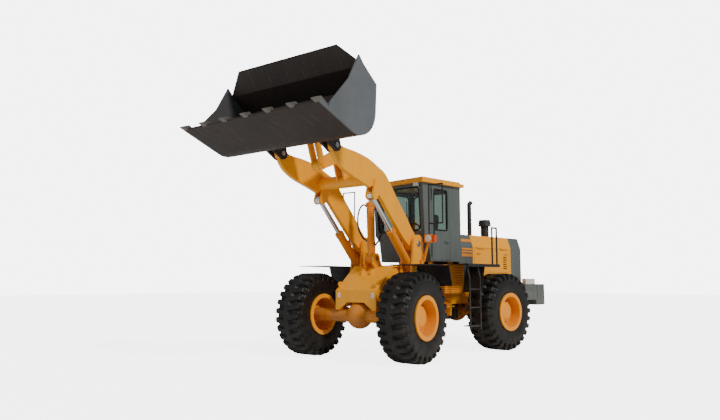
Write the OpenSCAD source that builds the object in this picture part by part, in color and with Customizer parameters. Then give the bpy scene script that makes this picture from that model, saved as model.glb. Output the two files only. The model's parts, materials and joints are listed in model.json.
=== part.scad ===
// Articulated wheel loader: X runs forward along the rear half, Y to the left, Z up.
// Every length is in millimetres; the ground lies at Z = 0.

/* [Stance] */
// Front axle ahead of the centre hinge
axle_front = 1625; // [1500:5:1800]
// Rear axle behind the centre hinge
axle_rear = 1635; // [1500:5:1800]
// Distance between the wheel mid-planes
track = 2300; // [2200:10:2500]
// Turn of the front half to the left at rest, in degrees
rest_steer = 11; // [0:1:15]

/* [Wheels] */
// Tyre radius over the lugs
tyre_r = 795; // [740:5:830]
// Tyre width
tyre_w = 590; // [520:5:620]
// Rim flange radius
rim_r = 390; // [360:5:420]

/* [Front half] */
// Height of the boom pivot
boom_pin_z = 2145; // [2050:5:2250]
// Boom pivot ahead of the centre hinge
boom_pin_x = 715; // [690:5:740]
// Mid-plane of each boom arm
arm_y = 600; // [560:5:640]
// Thickness of a boom arm
arm_t = 80; // [50:5:100]
// Front face of the nose
nose_x = 1770; // [1700:5:1850]
// Half width of the nose
nose_y = 460; // [400:5:480]
// Fender height
fender_z = 1715; // [1680:5:1760]

/* [Linkage at rest] */
// Bucket pin ahead of the centre hinge
bucket_pin_x = 3200; // [3000:10:3400]
// Height of the bucket pin
bucket_pin_z = 3660; // [3500:10:3800]
// Lift cylinder base pin, forward
lift_base_x = 750; // [700:5:800]
// Lift cylinder base pin, height
lift_base_z = 1620; // [1560:5:1680]
// Lift cylinder eye, forward
lift_eye_x = 2090; // [2060:2:2120]
// Lift cylinder eye, height
lift_eye_z = 2950; // [2920:2:2990]
// Tilt cylinder base pin, forward
tilt_base_x = 1240; // [1200:5:1300]
// Tilt cylinder base pin, height
tilt_base_z = 1860; // [1820:5:1920]
// Bellcrank pivot, forward
crank_x = 2257; // [2200:1:2320]
// Bellcrank pivot, height
crank_z = 3726; // [3680:1:3780]
// Tilt cylinder eye, forward
tilt_eye_x = 1310; // [1270:5:1350]
// Tilt cylinder eye, height
tilt_eye_z = 3504; // [3450:2:3560]
// Link pin in the bellcrank, forward
link_low_x = 2850; // [2800:5:2900]
// Link pin in the bellcrank, height
link_low_z = 3450; // [3400:5:3500]
// Link eye at the bucket, forward
link_top_x = 3077; // [3040:1:3120]
// Link eye at the bucket, height
link_top_z = 4078; // [4030:2:4120]

/* [Bucket] */
// Half width of the bucket
bucket_y = 1480; // [1380:10:1600]
// Roll back of the bucket floor at rest, in degrees
bucket_roll = 20; // [10:1:30]
// Reach of the tooth tips from the bucket pin
tooth_reach = 1505; // [1400:5:1600]
// Drop of the floor under the bucket pin
floor_drop = 222; // [180:2:260]
// Radius of the rounded back
back_r = 460; // [420:5:500]
// Wall of the bucket shell
bucket_t = 24; // [16:1:32]
// Number of teeth
tooth_count = 7; // [5:1:9]

/* [Cab] */
// Half width of the cab
cab_y = 700; // [660:5:740]
// Underside of the cab floor
cab_floor_z = 1830; // [1800:5:1870]
// Top of the roof
roof_z = 3520; // [3440:5:3600]
// Rear wall of the cab behind the centre hinge
cab_rear = 950; // [920:5:980]
// Front of the cab foot ahead of the centre hinge
cab_foot = 80; // [60:5:100]
// Windscreen foot ahead of the centre hinge
screen_low_x = 200; // [180:5:240]
// Windscreen head ahead of the centre hinge
screen_top_x = 255; // [240:5:290]
// Wall of the cab
cab_t = 50; // [40:2:60]
// Front edge of the door
door_front = -15; // [-40:1:-10]
// Length of the door
door_len = 570; // [530:5:590]

/* [Rear half] */
// Half width of the hood
hood_y = 600; // [560:5:630]
// Height of the hood
hood_z = 2430; // [2380:5:2480]
// Height of the crease along the hood
crease_z = 2180; // [2140:5:2220]
// Rear end of the hood behind the centre hinge
hood_rear_x = 3340; // [3280:5:3400]
// Wall of the hood
hood_t = 25; // [16:1:32]
// Rear end of the counterweight behind the centre hinge
weight_x = 3760; // [3700:5:3900]
// Half width of the counterweight
weight_y = 950; // [900:5:1000]
// Height of the walkway
deck_z = 1775; // [1750:5:1800]
// Outer edge of the walkway
deck_y = 1340; // [1280:5:1380]
// Top of the exhaust stack
stack_z = 3140; // [3000:5:3250]

/* [Hidden] */
// Running gap round a pin
fit = 0.3;
// Side gap between moving cheeks
side = 8;
// Overrun of a cut
over = 2;
// Heavy plate
plate = 40;
// Thin sheet
sheet = 12;
// Main pin radius
pin_r = 45;
// Radius of a cylinder eye
eye_r = 92;
// Facets of a round
$fn = 64;
// Steps of a curved edge
bow_steps = 3;
// Swell of a tube bend
bead = 1.03;

// Wheels
axle_z = tyre_r;
seat_r = rim_r * 0.86;
rim_wall = rim_r * 0.05;
flange_out = tyre_w * 0.5;
flange_in = tyre_w * 0.455;
hub_r = rim_r * 0.42;
hub_in = tyre_w * 0.16;
disc_in = tyre_w * 0.03;
disc_out = tyre_w * 0.09;
cap_r = rim_r * 0.52;
cap_shoulder = tyre_w * 0.26;
cap_top_r = rim_r * 0.36;
cap_top = tyre_w * 0.32;
spindle_r = rim_r * 0.2;
spindle_end = tyre_w * 0.02;
tyre_shares = [[0, 0.86], [0.12, 0.9], [0.28, 0.97], [0.46, 1], [0.64, 0.99], [0.8, 0.955], [0.93, 0.9],
    [0.985, 0.76], [1, 0.55]];
tyre_half = [for (p = tyre_shares)
    [seat_r + fit * 2 + p[0] * (tyre_r - seat_r - fit * 2), p[1] * tyre_w / 2]];
tyre_outline = concat(tyre_half,
    [for (i = [len(tyre_half) - 1 : -1 : 0]) [tyre_half[i][0], -tyre_half[i][1]]]);
rim_outline = [[0, spindle_end + side], [spindle_r + fit, spindle_end + side], [spindle_r + fit, -hub_in],
    [hub_r, -hub_in], [hub_r, disc_in], [seat_r - rim_wall, disc_in], [seat_r - rim_wall, -flange_out],
    [rim_r, -flange_out], [rim_r, -flange_in], [seat_r, -flange_in], [seat_r, flange_in],
        [rim_r, flange_in],
    [rim_r, flange_out], [seat_r - rim_wall, flange_out], [seat_r - rim_wall, disc_out], [cap_r, disc_out],
    [cap_r, cap_shoulder], [cap_top_r, cap_top], [0, cap_top]];

// Axles and shafts
tube_r = tyre_r * 0.16;
tube_end = track / 2 - hub_in - side;
diff_r = tyre_r * 0.31;
pad_x = 95;
pad_in = 330;
nose_r = 105;
rear_nose = 305;
front_nose = 380;
shaft_r = 45;
shaft_hole = 82;
yoke_x = 110;

// Rear frame
frame_y = 430;
frame_low = 950;
frame_top = 1350;
frame_end = 3400;
neck_y = 240;
neck_x = 900;
neck_low = 560;
neck_front = 200;
cross_low = 700;
sill_x = 1000;
sill_z = 1375;
beam_xs = [1900, 2700];
hinge_top = 1270;
hinge_low = 640;
lug_t = 90;
lug_r = 150;
gap_z = 6;
fork_t = 45;
pin_h = lug_t + (fork_t + gap_z + sheet) * 2;
post_front = 300;
post_rear = 930;
post_y = 420;
post_r = 55;
beam_top = 1390;
tank_in = 500;
tank_out = 820;
tank_low = 1180;
tank_x0 = 250;
tank_x1 = 880;

// Steering cylinders
steer_z = 980;
steer_base = [-750, 480];
steer_eye = [450, 560];
steer_r = 58;
steer_pin = 28;
steer_h = steer_r * 1.9;
steer_eye_h = 64;
lug_sheet = 28;
steer_rod_r = 32;
steer_barrel = 760;
steer_rod_len = 770;
steer_bottom = 45;

// Counterweight and tow slot
weight_low = 880;
weight_top = 1360;
wing_low = 1000;
wing_x = 2950;
tow_w = 140;
tow_low = 1040;
tow_top = 1150;
tow_deep = 180;
tow_in = 80;
tow_r = 27;
seam_x = 3440;
seam_w = 14;

// Hood, grille and engine
hood_top_y = hood_y * 0.86;
hood_split = 1480;
hood_split2 = 2925;
seam = 6;
lid_x0 = 1545;
lid_x1 = 2860;
lid_z0 = 1630;
lid_drop = 30;
lid_z1 = crease_z - lid_drop;
lid_gap = 6;
lid_handle_z = 2040;
louvre_n = 6;
louvre_in = 90;
louvre_w = 150;
louvre_z = 1700;
louvre_step = 50;
grille_y = 480;
grille_low = 1480;
grille_top = 2150;
grille_n = 9;
grille_rim = 40;
grille_step = (grille_top - grille_low) / grille_n;
engine_x0 = 1800;
engine_x1 = 2850;
engine_y = 330;
engine_z = 1000;
engine_top = 2000;
gear_x1 = axle_rear - rear_nose;
gear_y = 290;
gear_low = 620;
gear_top = 1300;
radiator_x = 3150;
radiator_t = 100;
stack_x = 1755;
stack_y = 320;
stack_r = 48;
stack_tail = 60;
clean_x = 2420;
clean_y = 250;
clean_r = 92;
clean_h = 270;
clean_cap = 148;
clean_cap_h = 140;

// Walkways, ladders and rails
deck_x0 = 350;
deck_x1 = 1420;
deck_lip = 60;
guard_x0 = 900;
guard_x = 760;
guard_low = 1200;
guard_in = 880;
ladder_x0 = 400;
ladder_x1 = 740;
ladder_y = 1290;
ladder_out = 40;
ladder_knee = 1650;
ladder_mid = 1500;
ladder_low = 480;
ladder_steps = [540, 900, 1260];
tread = 160;
rail_x0 = 1230;
rail_x1 = 1390;
rail_y = 1290;
rail_z = 2530;
rail_r = 18;

// Hinges of the cab door and the hood doors
hinge_h = 90;
hinge_out = 20;
hinge_leaf = 24;
hinge_flap = 10;
knuckle_r = 14;
hinge_pin = 7;
hinge_gap = 5;
door_hinges = [2050, 3200];
lid_hinge_in = 220;

// Cab
roof_h = 115;
roof_cap = 45;
roof_under = roof_z - roof_h;
roof_mid = roof_z - roof_cap;
roof_lip = 60;
foot_in = 60;
knee_z = 2250;
shelf_z = 2380;
screen_z0 = 2440;
glass_t = 8;
glass_low = 2480;
glass_top = 3330;
post_w = 95;
glass_y = cab_y - post_w;
side_x0 = 20;
side_x1 = 850;
door_sill = 20;
door_low = cab_floor_z + door_sill;
door_top = 3370;
door_rim = 70;
door_glass_z = 2460;
handle_z = 2230;
handle_out = 40;
handle_len = 90;
handle_r = 9;
cab_outline = [[-cab_rear, cab_floor_z], [cab_foot - foot_in, cab_floor_z], [cab_foot, knee_z],
    [screen_low_x, shelf_z],
    [screen_top_x, roof_under], [-cab_rear, roof_under]];
cab_inside = [[cab_t - cab_rear, cab_floor_z + cab_t], [cab_foot - foot_in - cab_t, cab_floor_z + cab_t],
    [cab_foot - cab_t, knee_z], [screen_low_x - cab_t, shelf_z + sheet],
        [screen_top_x - cab_t, roof_under + over],
    [cab_t - cab_rear, roof_under + over]];
screen_pane = [[screen_low_x - cab_t / 2, shelf_z], [screen_low_x - cab_t / 2 + glass_t, shelf_z],
    [screen_top_x - cab_t / 2 + glass_t, roof_under], [screen_top_x - cab_t / 2, roof_under]];
seat_x = 560;
seat_l = 460;
seat_w = 480;
seat_z = 2250;
seat_t = 110;
back_h = 620;
wheel_x = 150;
wheel_z = 2600;
wheel_lean = 25;
wheel_r = 200;
wheel_tube = 16;
column_r = 40;
lamp_x0 = 3000;
lamp_x1 = 3380;
lamp_y0 = 840;
lamp_y1 = 940;
lamp_h = 125;
work_y = 560;
work_w = 60;
work_h = 70;

// Front frame
tower_half = 115;
tower_in = arm_y - tower_half;
tower_out = arm_y + tower_half;
tower_back = 500;
tower_front = 1020;
tower_foot = 1290;
tower_r = 175;
box_top = 1420;
front_neck = 300;
front_wall = 350;
neck_back = 180;
flat_x = 700;
slope_x = 1180;
slope_z = 1720;
nose_top = 1260;
nose_low = 900;
arch_low = 380;
arch_top = 194;
arch_h = 138;
nose_arch = [[-arch_low, nose_low - over], [arch_low, nose_low - over], [arch_top, nose_low + arch_h],
    [-arch_top, nose_low + arch_h]];
cheek_x = 1250;
belly_x = 1000;
belly_z = 760;
bracket_back = 1060;
bracket_front = 1440;
eyelet_x = 1690;
eyelet_y = 416;
eyelet_r = 48;
eyelet_t = 30;
eyelet_hole = 22;
slot_x = 1330;
slot_l = 60;
slot_w = 330;
function slope_at(x) = slope_z - (x - slope_x) * (slope_z - nose_top) / (nose_x - slope_x);
eyelet_z = slope_at(eyelet_x) + eyelet_r;
cheek = [[front_wall, cross_low], [front_wall, box_top], [flat_x, slope_z], [slope_x, slope_z],
    [nose_x, nose_top],
    [nose_x, nose_low], [nose_x - plate, nose_low], [nose_x - plate, frame_low], [cheek_x, frame_low],
        [belly_x, belly_z]];
tower = [[tower_back, tower_foot], [boom_pin_x - tower_r, boom_pin_z], [boom_pin_x + tower_r, boom_pin_z],
    [tower_front, tower_foot]];
tilt_bracket = [[bracket_back, slope_z - sheet], [tilt_base_x - eye_r, tilt_base_z],
    [tilt_base_x + eye_r, tilt_base_z],
    [bracket_front, slope_at(bracket_front) - sheet]];
fender_front = 1740;
fender_back = 770;
fender_out = 1420;
skirt_x = 640;
skirt_z = 1340;
fender = [[fender_front, fender_z], [fender_front, fender_z + sheet], [fender_back, fender_z + sheet],
    [skirt_x, skirt_z],
    [skirt_x + sheet, skirt_z], [fender_back + sheet, fender_z]];
lamp_x = 640;
lamp_y = 900;
head_z = 2245;
head_l = 110;
head_w = 78;
arm_foot = 1800;
arm_pad = 40;
arm_r = 26;
lens_t = 14;
blinker = 60;
loop_x = lamp_x - head_l / 2;
loop_y = 1200;
loop_z0 = 2540;
loop_z1 = 3300;
loop_r = 14;

// Boom, as shares of the distance between its two pins
boom_dx = bucket_pin_x - boom_pin_x;
boom_dz = bucket_pin_z - boom_pin_z;
boom_len = sqrt(boom_dx * boom_dx + boom_dz * boom_dz);
boom_tilt = atan2(boom_dz, boom_dx);
boom_up_shares = [[-0.02, 0.05], [0.08, 0.07], [0.185, 0.102], [0.336, 0.139], [0.43, 0.167],
    [0.519, 0.186], [0.6, 0.174],
    [0.7, 0.153], [0.79, 0.118], [0.85, 0.09], [0.92, 0.052], [0.97, 0.034], [1.0, 0.03]];
boom_low_shares = [[-0.02, -0.045], [0.08, -0.045], [0.185, -0.033], [0.336, -0.002], [0.43, 0.016],
    [0.519, 0.022],
    [0.6, 0.01], [0.7, -0.018], [0.79, -0.045], [0.85, -0.058], [0.92, -0.062], [0.97, -0.05],
        [1.0, -0.034]];
cross_x = 2090;
cross_z = 3250;
cross_r = 118;
root_r = 150;
tip_r = 100;
ear_t = 35;
lift_ear = 80;
lift_slack = 85;
lift_share = 0.56;
lift_hold_share = 0.08;

// Cylinders
lift_r = 80;
lift_rod_r = 45;
lift_slot = (lift_rod_r + side) * 2;
lift_cheek = lift_slot / 2 + ear_t - arm_t / 2 + over;
lift_cheek_y = (lift_slot / 2 + ear_t + arm_t / 2 - over) / 2;
lift_barrel = 1055;
lift_rod_len = 1140;
lift_bottom = 115;
lift_dx = lift_eye_x - lift_base_x;
lift_dz = lift_eye_z - lift_base_z;
lift_len = sqrt(lift_dx * lift_dx + lift_dz * lift_dz);
lift_tilt = atan2(lift_dz, lift_dx);
tilt_r = 78;
tilt_gap = tilt_r + side;
tilt_rod_r = 42;
tilt_barrel_len = 1090;
tilt_rod_len = 1130;
tilt_bottom = 110;
tilt_dx = tilt_eye_x - tilt_base_x;
tilt_dz = tilt_eye_z - tilt_base_z;
tilt_len = sqrt(tilt_dx * tilt_dx + tilt_dz * tilt_dz);
tilt_tilt = atan2(tilt_dz, tilt_dx);
gland = 70;
gland_lip = 8;
fork_deep = 165;
crank_t = 110;
crank_gap = crank_t / 2 + side;
crank_boss = 125;

// Bucket in its own level frame, from the bucket pin
edge_x = tooth_reach * 0.93;
edge_l = 260;
edge_t = 40;
arc_x = back_r * 1.3;
arc_z = back_r - floor_drop;
arc_steps = 12;
back_lean = 163;
back_rise = back_r * 1.02;
guard_shares = [[0.47, 0.615], [0.678, 0.79]];
side_shares = [[0.8, -0.066], [0.628, 0.326], [0.57, 0.662]];
guard = tooth_reach * guard_shares;
guard_lean = atan2(guard[1][1] - guard[0][1], guard[1][0] - guard[0][0]);
guard_len = norm(guard[1] - guard[0]);
guard_y = bucket_y * 0.738;
cheek_t = 30;
hinge_t = 40;
hinge_r = 105;
bucket_gap = arm_t / 2 + side;
link_gap = crank_gap + ear_t + side;
link_ear = 95;
tooth_y = bucket_y * 0.966;
tooth_w = 84;
tooth_back = 180;
tooth_top = 60;
tooth_tip = 14;
link_dx = link_top_x - bucket_pin_x;
link_dz = link_top_z - bucket_pin_z;
eye_bx = link_dx * cos(bucket_roll) + link_dz * sin(bucket_roll);
eye_bz = link_dz * cos(bucket_roll) - link_dx * sin(bucket_roll);
function back_arc(t) = [for (i = [0 : arc_steps]) [arc_x, arc_z]
    + (back_r - t) * unit(270 - (270 - back_lean) * i / arc_steps)];
function back_top(t) = [arc_x, arc_z] + (back_r - t) * unit(back_lean) + (back_rise - t)
    * unit(back_lean - 90);
function bucket_shell(t) = concat([[edge_x - edge_l + over, t - floor_drop]], back_arc(t), [back_top(t)],
    [guard[0] + t * [0.2, -1]]);
bucket_hollow = bucket_shell(bucket_t / 2);
bucket_side = concat([[edge_x - tooth_back - side, -floor_drop]], tooth_reach * side_shares, [guard[0]],
    [back_top(0)],
    flip(back_arc(0)));
hinge_ear_shares = [[-0.57, 0.84], [1.43, 4], [3.14, -0.57], [0.38, -0.95]];
hinge_ear = hinge_r * hinge_ear_shares;
link_lug = strut([eye_bx, eye_bz], [eye_bx + back_r / 2, eye_bz], link_ear, link_ear * 1.3);
tooth = [[edge_x - tooth_back, edge_t + fit - floor_drop],
    [edge_x - tooth_back, edge_t + tooth_top / 2 - floor_drop],
    [edge_x, edge_t + tooth_top - floor_drop], [tooth_reach, tooth_tip - floor_drop],
        [tooth_reach, -floor_drop],
    [edge_x + fit, -floor_drop], [edge_x + fit, edge_t + fit - floor_drop]];

// Middle of the whole machine, on the ground
tip_x = bucket_pin_x + tooth_reach * cos(bucket_roll) + floor_drop * sin(bucket_roll);
tip_y = tooth_y + tooth_w / 2;
mid_x = (tip_x * cos(rest_steer) + tip_y * sin(rest_steer) - weight_x) / 2;
mid_y = (tip_x * sin(rest_steer) + tip_y * cos(rest_steer) - track / 2 - tyre_w / 2) / 2;
boom_outline = concat([for (p = smooth(boom_up_shares)) boom_at(p[0], p[1])],
    [for (p = flip(smooth(boom_low_shares))) boom_at(p[0], p[1])]);

function hood_outline(t) = [[t - hood_y, sill_z], [t - hood_y, crease_z], [t - hood_top_y, hood_z - t],
    [hood_top_y - t, hood_z - t], [hood_y - t, crease_z], [hood_y - t, sill_z]];

module rear() {
    translate([-mid_x, -mid_y, 0]) children();
}

module front() {
    rear() rotate([0, 0, rest_steer]) children();
}

module both() {
    children();
    mirror([0, 1, 0]) children();
}

module slab(pts, t, y) {
    translate([0, y, 0]) rotate([90, 0, 0]) linear_extrude(height = t, center = true) polygon(pts);
}

module pin(x, z, r, w, y) {
    translate([x, y, z]) rotate([90, 0, 0]) cylinder(r = r, h = w, center = true);
}

function unit(a) = [cos(a), sin(a)];
function turned(p, a) = [p[0] * cos(a) - p[1] * sin(a), p[0] * sin(a) + p[1] * cos(a)];
function boom_at(s, p) = [boom_pin_x, boom_pin_z] + boom_len * (s * unit(boom_tilt)
    + p * [-sin(boom_tilt), cos(boom_tilt)]);
function bow(a, b, c, d, t) = 0.5 * (2 * b + (c - a) * t + (2 * a - 5 * b + 4 * c - d) * t * t
    + (3 * b - a - 3 * c + d) * t * t * t);
function row(list, i) = list[max(0, min(len(list) - 1, i))];
function smooth(list) = [for (i = [0 : len(list) - 2]) for (t = [0 : 1 / bow_steps : 0.99])
    bow(row(list, i - 1), row(list, i), row(list, i + 1), row(list, i + 2), t)];
function side_of(p, q, w) = w * [p[1] - q[1], q[0] - p[0]] / norm(q - p);
function strut(p, q, wp, wq) = [p + side_of(p, q, wp), p - side_of(p, q, wp), q - side_of(p, q, wq),
    q + side_of(p, q, wq)];
function flip(list) = [for (i = [len(list) - 1 : -1 : 0]) list[i]];

module bar(p, q, r) {
    d = q - p;
    translate(p) rotate([0, acos(d[2] / norm(d)), atan2(d[1], d[0])]) cylinder(r = r, h = norm(d));
}

module bent(pts, r) {
    for (i = [0 : len(pts) - 2]) bar(pts[i], pts[i + 1], r);
    for (i = [1 : len(pts) - 2]) translate(pts[i]) sphere(r = r * bead);
}

module block(low, high) {
    translate(low) cube(high - low);
}

module hinge_fixed() {
    for (s = [-1, 1]) {
        translate([0, hinge_out, s * hinge_h - (hinge_h - hinge_gap) / 2])
            cylinder(r = knuckle_r, h = hinge_h - hinge_gap);
        block([0, -over, s * hinge_h - (hinge_h - hinge_gap) / 2],
            [hinge_leaf, hinge_flap, s * hinge_h + (hinge_h - hinge_gap) / 2]);
    }
    translate([0, hinge_out, -hinge_h]) cylinder(r = hinge_pin, h = hinge_h * 2);
}

module hinge_moving() {
    difference() {
        union() {
            translate([0, hinge_out, (hinge_gap - hinge_h) / 2])
                cylinder(r = knuckle_r, h = hinge_h - hinge_gap);
            block([-hinge_leaf, -over, (hinge_gap - hinge_h) / 2],
                [0, hinge_flap, (hinge_h - hinge_gap) / 2]);
        }
        translate([0, hinge_out, -hinge_h]) cylinder(r = hinge_pin + fit, h = hinge_h * 2);
    }
}

module at_door_hinges() {
    for (z = door_hinges) translate([door_front, cab_y, z]) children();
}

module at_lid_hinges() {
    for (x = [lid_x0 + lid_hinge_in, lid_x1 - lid_hinge_in])
        translate([-x, hood_y, lid_z1 + lid_gap / 2]) rotate([0, -90, 0]) children();
}

module wheel_at(x, y, out) {
    translate([x, y, axle_z]) rotate([0, 0, out > 0 ? 0 : 180]) rotate([-90, 0, 0]) children();
}

module tyre() {
    color("dimgray") rotate_extrude() polygon(tyre_outline);
}

module rim() {
    color("orange") rotate_extrude() polygon(rim_outline);
}

module axle(nose, reach) {
    for (s = [-1, 1]) {
        translate([0, 0, axle_z]) rotate([-90 * s, 0, 0]) cylinder(r = tube_r, h = tube_end);
        translate([0, 0, axle_z]) rotate([-90 * s, 0, 0])
            cylinder(r = spindle_r, h = track / 2 + spindle_end);
        block([-pad_x, s > 0 ? pad_in : -frame_y, axle_z], [pad_x, s > 0 ? frame_y : -pad_in, frame_low]);
    }
    translate([0, 0, axle_z]) sphere(r = diff_r);
    translate([0, 0, axle_z]) rotate([0, 90 * nose, 0]) cylinder(r = nose_r, h = reach);
}

module rear_frame() {
    color("goldenrod") rear() {
        both() block([-frame_end, frame_y - plate, frame_low], [-neck_x, frame_y, frame_top]);
        both() block([-frame_end, frame_y - plate, frame_top - over], [-sill_x, hood_y, sill_z]);
        both() block([-neck_x, neck_y - plate, neck_low], [-neck_front, neck_y, frame_top]);
        block([-neck_x, -neck_y, frame_top - plate], [-neck_front, neck_y, frame_top]);
        block([-neck_x, -neck_y, neck_low], [-neck_front, neck_y, neck_low + plate]);
        difference() {
            union() {
                block([-neck_x - plate, -frame_y, cross_low], [-neck_x, frame_y, frame_top]);
                block([-neck_front - plate, -neck_y, neck_low], [-neck_front, neck_y, frame_top]);
            }
            translate([-neck_x - plate - over, 0, axle_z]) rotate([0, 90, 0])
                cylinder(r = shaft_hole, h = neck_x);
        }
        for (x = beam_xs) block([-x - plate, -frame_y, frame_low], [-x + plate, frame_y, engine_z]);
        for (z = [hinge_top, hinge_low]) {
            block([-neck_front - over, -lug_r, z - lug_t / 2], [0, lug_r, z + lug_t / 2]);
            translate([0, 0, z - lug_t / 2]) cylinder(r = lug_r, h = lug_t);
            translate([0, 0, z - pin_h / 2]) cylinder(r = pin_r, h = pin_h);
        }
        block([-post_front - post_r, -tank_in, frame_top - over],
            [-post_front + post_r, tank_in, beam_top]);
        both() translate([-post_front, post_y, frame_top])
            cylinder(r = post_r, h = cab_floor_z - frame_top);
        both() translate([-post_rear, post_y, frame_top - plate])
            cylinder(r = post_r, h = cab_floor_z - frame_top + plate);
        both() steer_lugs(steer_base, -neck_x - over, frame_y - plate, steer_h, 1);
    }
}

module steer_lugs(at, wall, inner, h, fixed) {
    for (s = [-1, 1]) translate([0, 0, steer_z + s * (h / 2 + side + lug_sheet / 2) - lug_sheet / 2]) {
        translate([at[0], at[1], 0]) cylinder(r = steer_r, h = lug_sheet);
        if (fixed > 0) block([wall, at[1] - steer_r, 0], [at[0], at[1] + steer_r, lug_sheet]);
        else block([at[0] - steer_r, inner, 0], [at[0] + steer_r, at[1], lug_sheet]);
    }
    if (fixed > 0) translate([at[0], at[1], steer_z - h / 2 - side - over])
        cylinder(r = steer_pin, h = h + side * 2 + over * 2);
}

module rear_axle() {
    color("gray") rear() translate([-axle_rear, 0, 0]) axle(1, rear_nose);
}

module counterweight() {
    color("slategray") rear() difference() {
        union() {
            block([-weight_x, -weight_y, weight_low], [-frame_end, weight_y, weight_top]);
            both() block([-frame_end - over, hood_y + hood_t, wing_low], [-wing_x, weight_y, weight_top]);
        }
        block([-weight_x - over, -tow_w, tow_low], [-weight_x + tow_deep, tow_w, tow_top]);
        translate([-weight_x + tow_in, 0, weight_low - over]) cylinder(r = tow_r, h = weight_top);
        both() block([-seam_x - seam_w, weight_y - seam_w, wing_low - over],
            [-seam_x, weight_y + over, weight_top + over]);
    }
}

module hood_shell(x0, x1) {
    rear() translate([x1, 0, 0]) rotate([90, 0, 90]) linear_extrude(height = x0 - x1)
        polygon(concat(hood_outline(0), flip(hood_outline(hood_t))));
}

module hood_front() {
    color("slategray") hood_shell(-sill_x, -hood_split);
}

module hood_main() {
    color("gold") {
        difference() {
            hood_shell(-hood_split - seam, -hood_split2);
            rear() both() block([-lid_x1 - lid_gap, hood_y - hood_t - over, lid_z0 - lid_gap],
                [-lid_x0 + lid_gap, hood_y + over, lid_z1 + lid_gap]);
        }
        rear() both() at_lid_hinges() hinge_fixed();
    }
}

module hood_rear() {
    color("slategray") {
        hood_shell(-hood_split2 - seam, -hood_rear_x);
        rear() difference() {
            translate([-hood_rear_x, 0, 0]) rotate([90, 0, 90]) linear_extrude(height = hood_t)
                polygon(hood_outline(hood_t - over));
            block([-hood_rear_x - over, -grille_y, grille_low],
                [-hood_rear_x + hood_t + over, grille_y, grille_top]);
        }
    }
}

module grille() {
    color("dimgray") rear() difference() {
        block([-hood_rear_x, -grille_y, grille_low], [-hood_rear_x + hood_t, grille_y, grille_top]);
        for (i = [0 : grille_n - 1]) block([-hood_rear_x - over, -grille_y + grille_rim,
            grille_low + grille_step * (i + 0.3)],
            [-hood_rear_x + hood_t + over, grille_y - grille_rim, grille_low + grille_step * (i + 0.8)]);
    }
}

module engine_block() {
    color("dimgray") rear() {
        block([-engine_x1, -engine_y, engine_z], [-engine_x0, engine_y, engine_top]);
        block([-gear_x1, -gear_y, gear_low], [-neck_x - plate, gear_y, gear_top]);
        block([-radiator_x - radiator_t, -grille_y, sill_z], [-radiator_x, grille_y, grille_top]);
    }
}

module rear_shaft() {
    color("silver") rear() {
        translate([-neck_x - plate, 0, axle_z]) rotate([0, 90, 0])
            cylinder(r = shaft_r, h = neck_x + plate - yoke_x);
    }
}

module exhaust() {
    color("dimgray") rear() {
        bar([-stack_x, stack_y, hood_z], [-stack_x, stack_y, stack_z], stack_r);
        translate([-stack_x, stack_y, stack_z]) sphere(r = stack_r * bead);
        bar([-stack_x, stack_y, stack_z], [-stack_x - stack_tail, stack_y, stack_z + stack_tail], stack_r);
    }
}

module precleaner() {
    color("dimgray") rear() translate([-clean_x, clean_y, hood_z]) {
        cylinder(r = clean_r, h = clean_h);
        translate([0, 0, clean_h - over]) cylinder(r1 = clean_cap, r2 = clean_cap * 0.86, h = clean_cap_h);
    }
}

module platforms() {
    color("dimgray") rear() both() {
        block([-deck_x1, hood_y + hood_t, deck_z - sheet], [-deck_x0, deck_y, deck_z]);
        block([-deck_x1, deck_y - sheet, deck_z - deck_lip], [-deck_x0, deck_y, deck_z - sheet + over]);
        slab([[-guard_x0 - sheet, deck_z - over], [-guard_x0, deck_z - over], [-guard_x, guard_low],
            [-guard_x - sheet, guard_low]],
            deck_y - guard_in, (deck_y + guard_in) / 2);
    }
}

module ladders() {
    color("dimgray") rear() both() {
        for (x = [ladder_x0, ladder_x1]) bent([[-x, ladder_y, deck_z - sheet], [-x, ladder_y, ladder_knee],
            [-x, ladder_y + ladder_out, ladder_mid],
            [-x, ladder_y + ladder_out, ladder_low]], rail_r);
        for (z = ladder_steps) block([-ladder_x1, ladder_y + ladder_out - tread, z],
            [-ladder_x0, ladder_y + ladder_out, z + sheet * 2]);
    }
}

module handrails() {
    color("dimgray") rear() both() bent([[-rail_x0, rail_y, deck_z], [-rail_x0, rail_y, rail_z],
        [-rail_x1, rail_y, rail_z], [-rail_x1, rail_y, deck_z]], rail_r);
}

module side_tanks() {
    color("darkorange") rear() both()
        block([-tank_x1, tank_in, tank_low], [-tank_x0, tank_out, deck_z - sheet]);
}

module cab_base() {
    color("slategray") rear() {
        difference() {
            slab(cab_outline, cab_y * 2, 0);
            slab(cab_inside, (cab_y - cab_t) * 2, 0);
            block([door_front - door_len, cab_y - cab_t - over, door_low],
                [door_front, cab_y + over, door_top]);
            screen_cut();
            block([-cab_rear - over, -glass_y, glass_low], [-cab_rear + cab_t + over, glass_y, glass_top]);
            block([-side_x1, -cab_y - over, glass_low], [-side_x0, -cab_y + cab_t + over, glass_top]);
        }
        at_door_hinges() hinge_fixed();
    }
}

module screen_cut() {
    block([screen_low_x - cab_t * 2, -glass_y, screen_z0], [screen_top_x + over, glass_y, glass_top]);
}

module cab_roof() {
    color("goldenrod") rear() {
        block([-cab_rear - roof_lip, -cab_y - roof_lip, roof_under],
            [screen_top_x + roof_lip, cab_y + roof_lip, roof_mid]);
        translate([0, 0, roof_mid - over]) linear_extrude(height = roof_z - roof_mid + over)
            polygon([[-cab_rear, -cab_y], [screen_top_x, -cab_y], [screen_top_x, cab_y],
                [-cab_rear, cab_y]]);
    }
}

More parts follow.
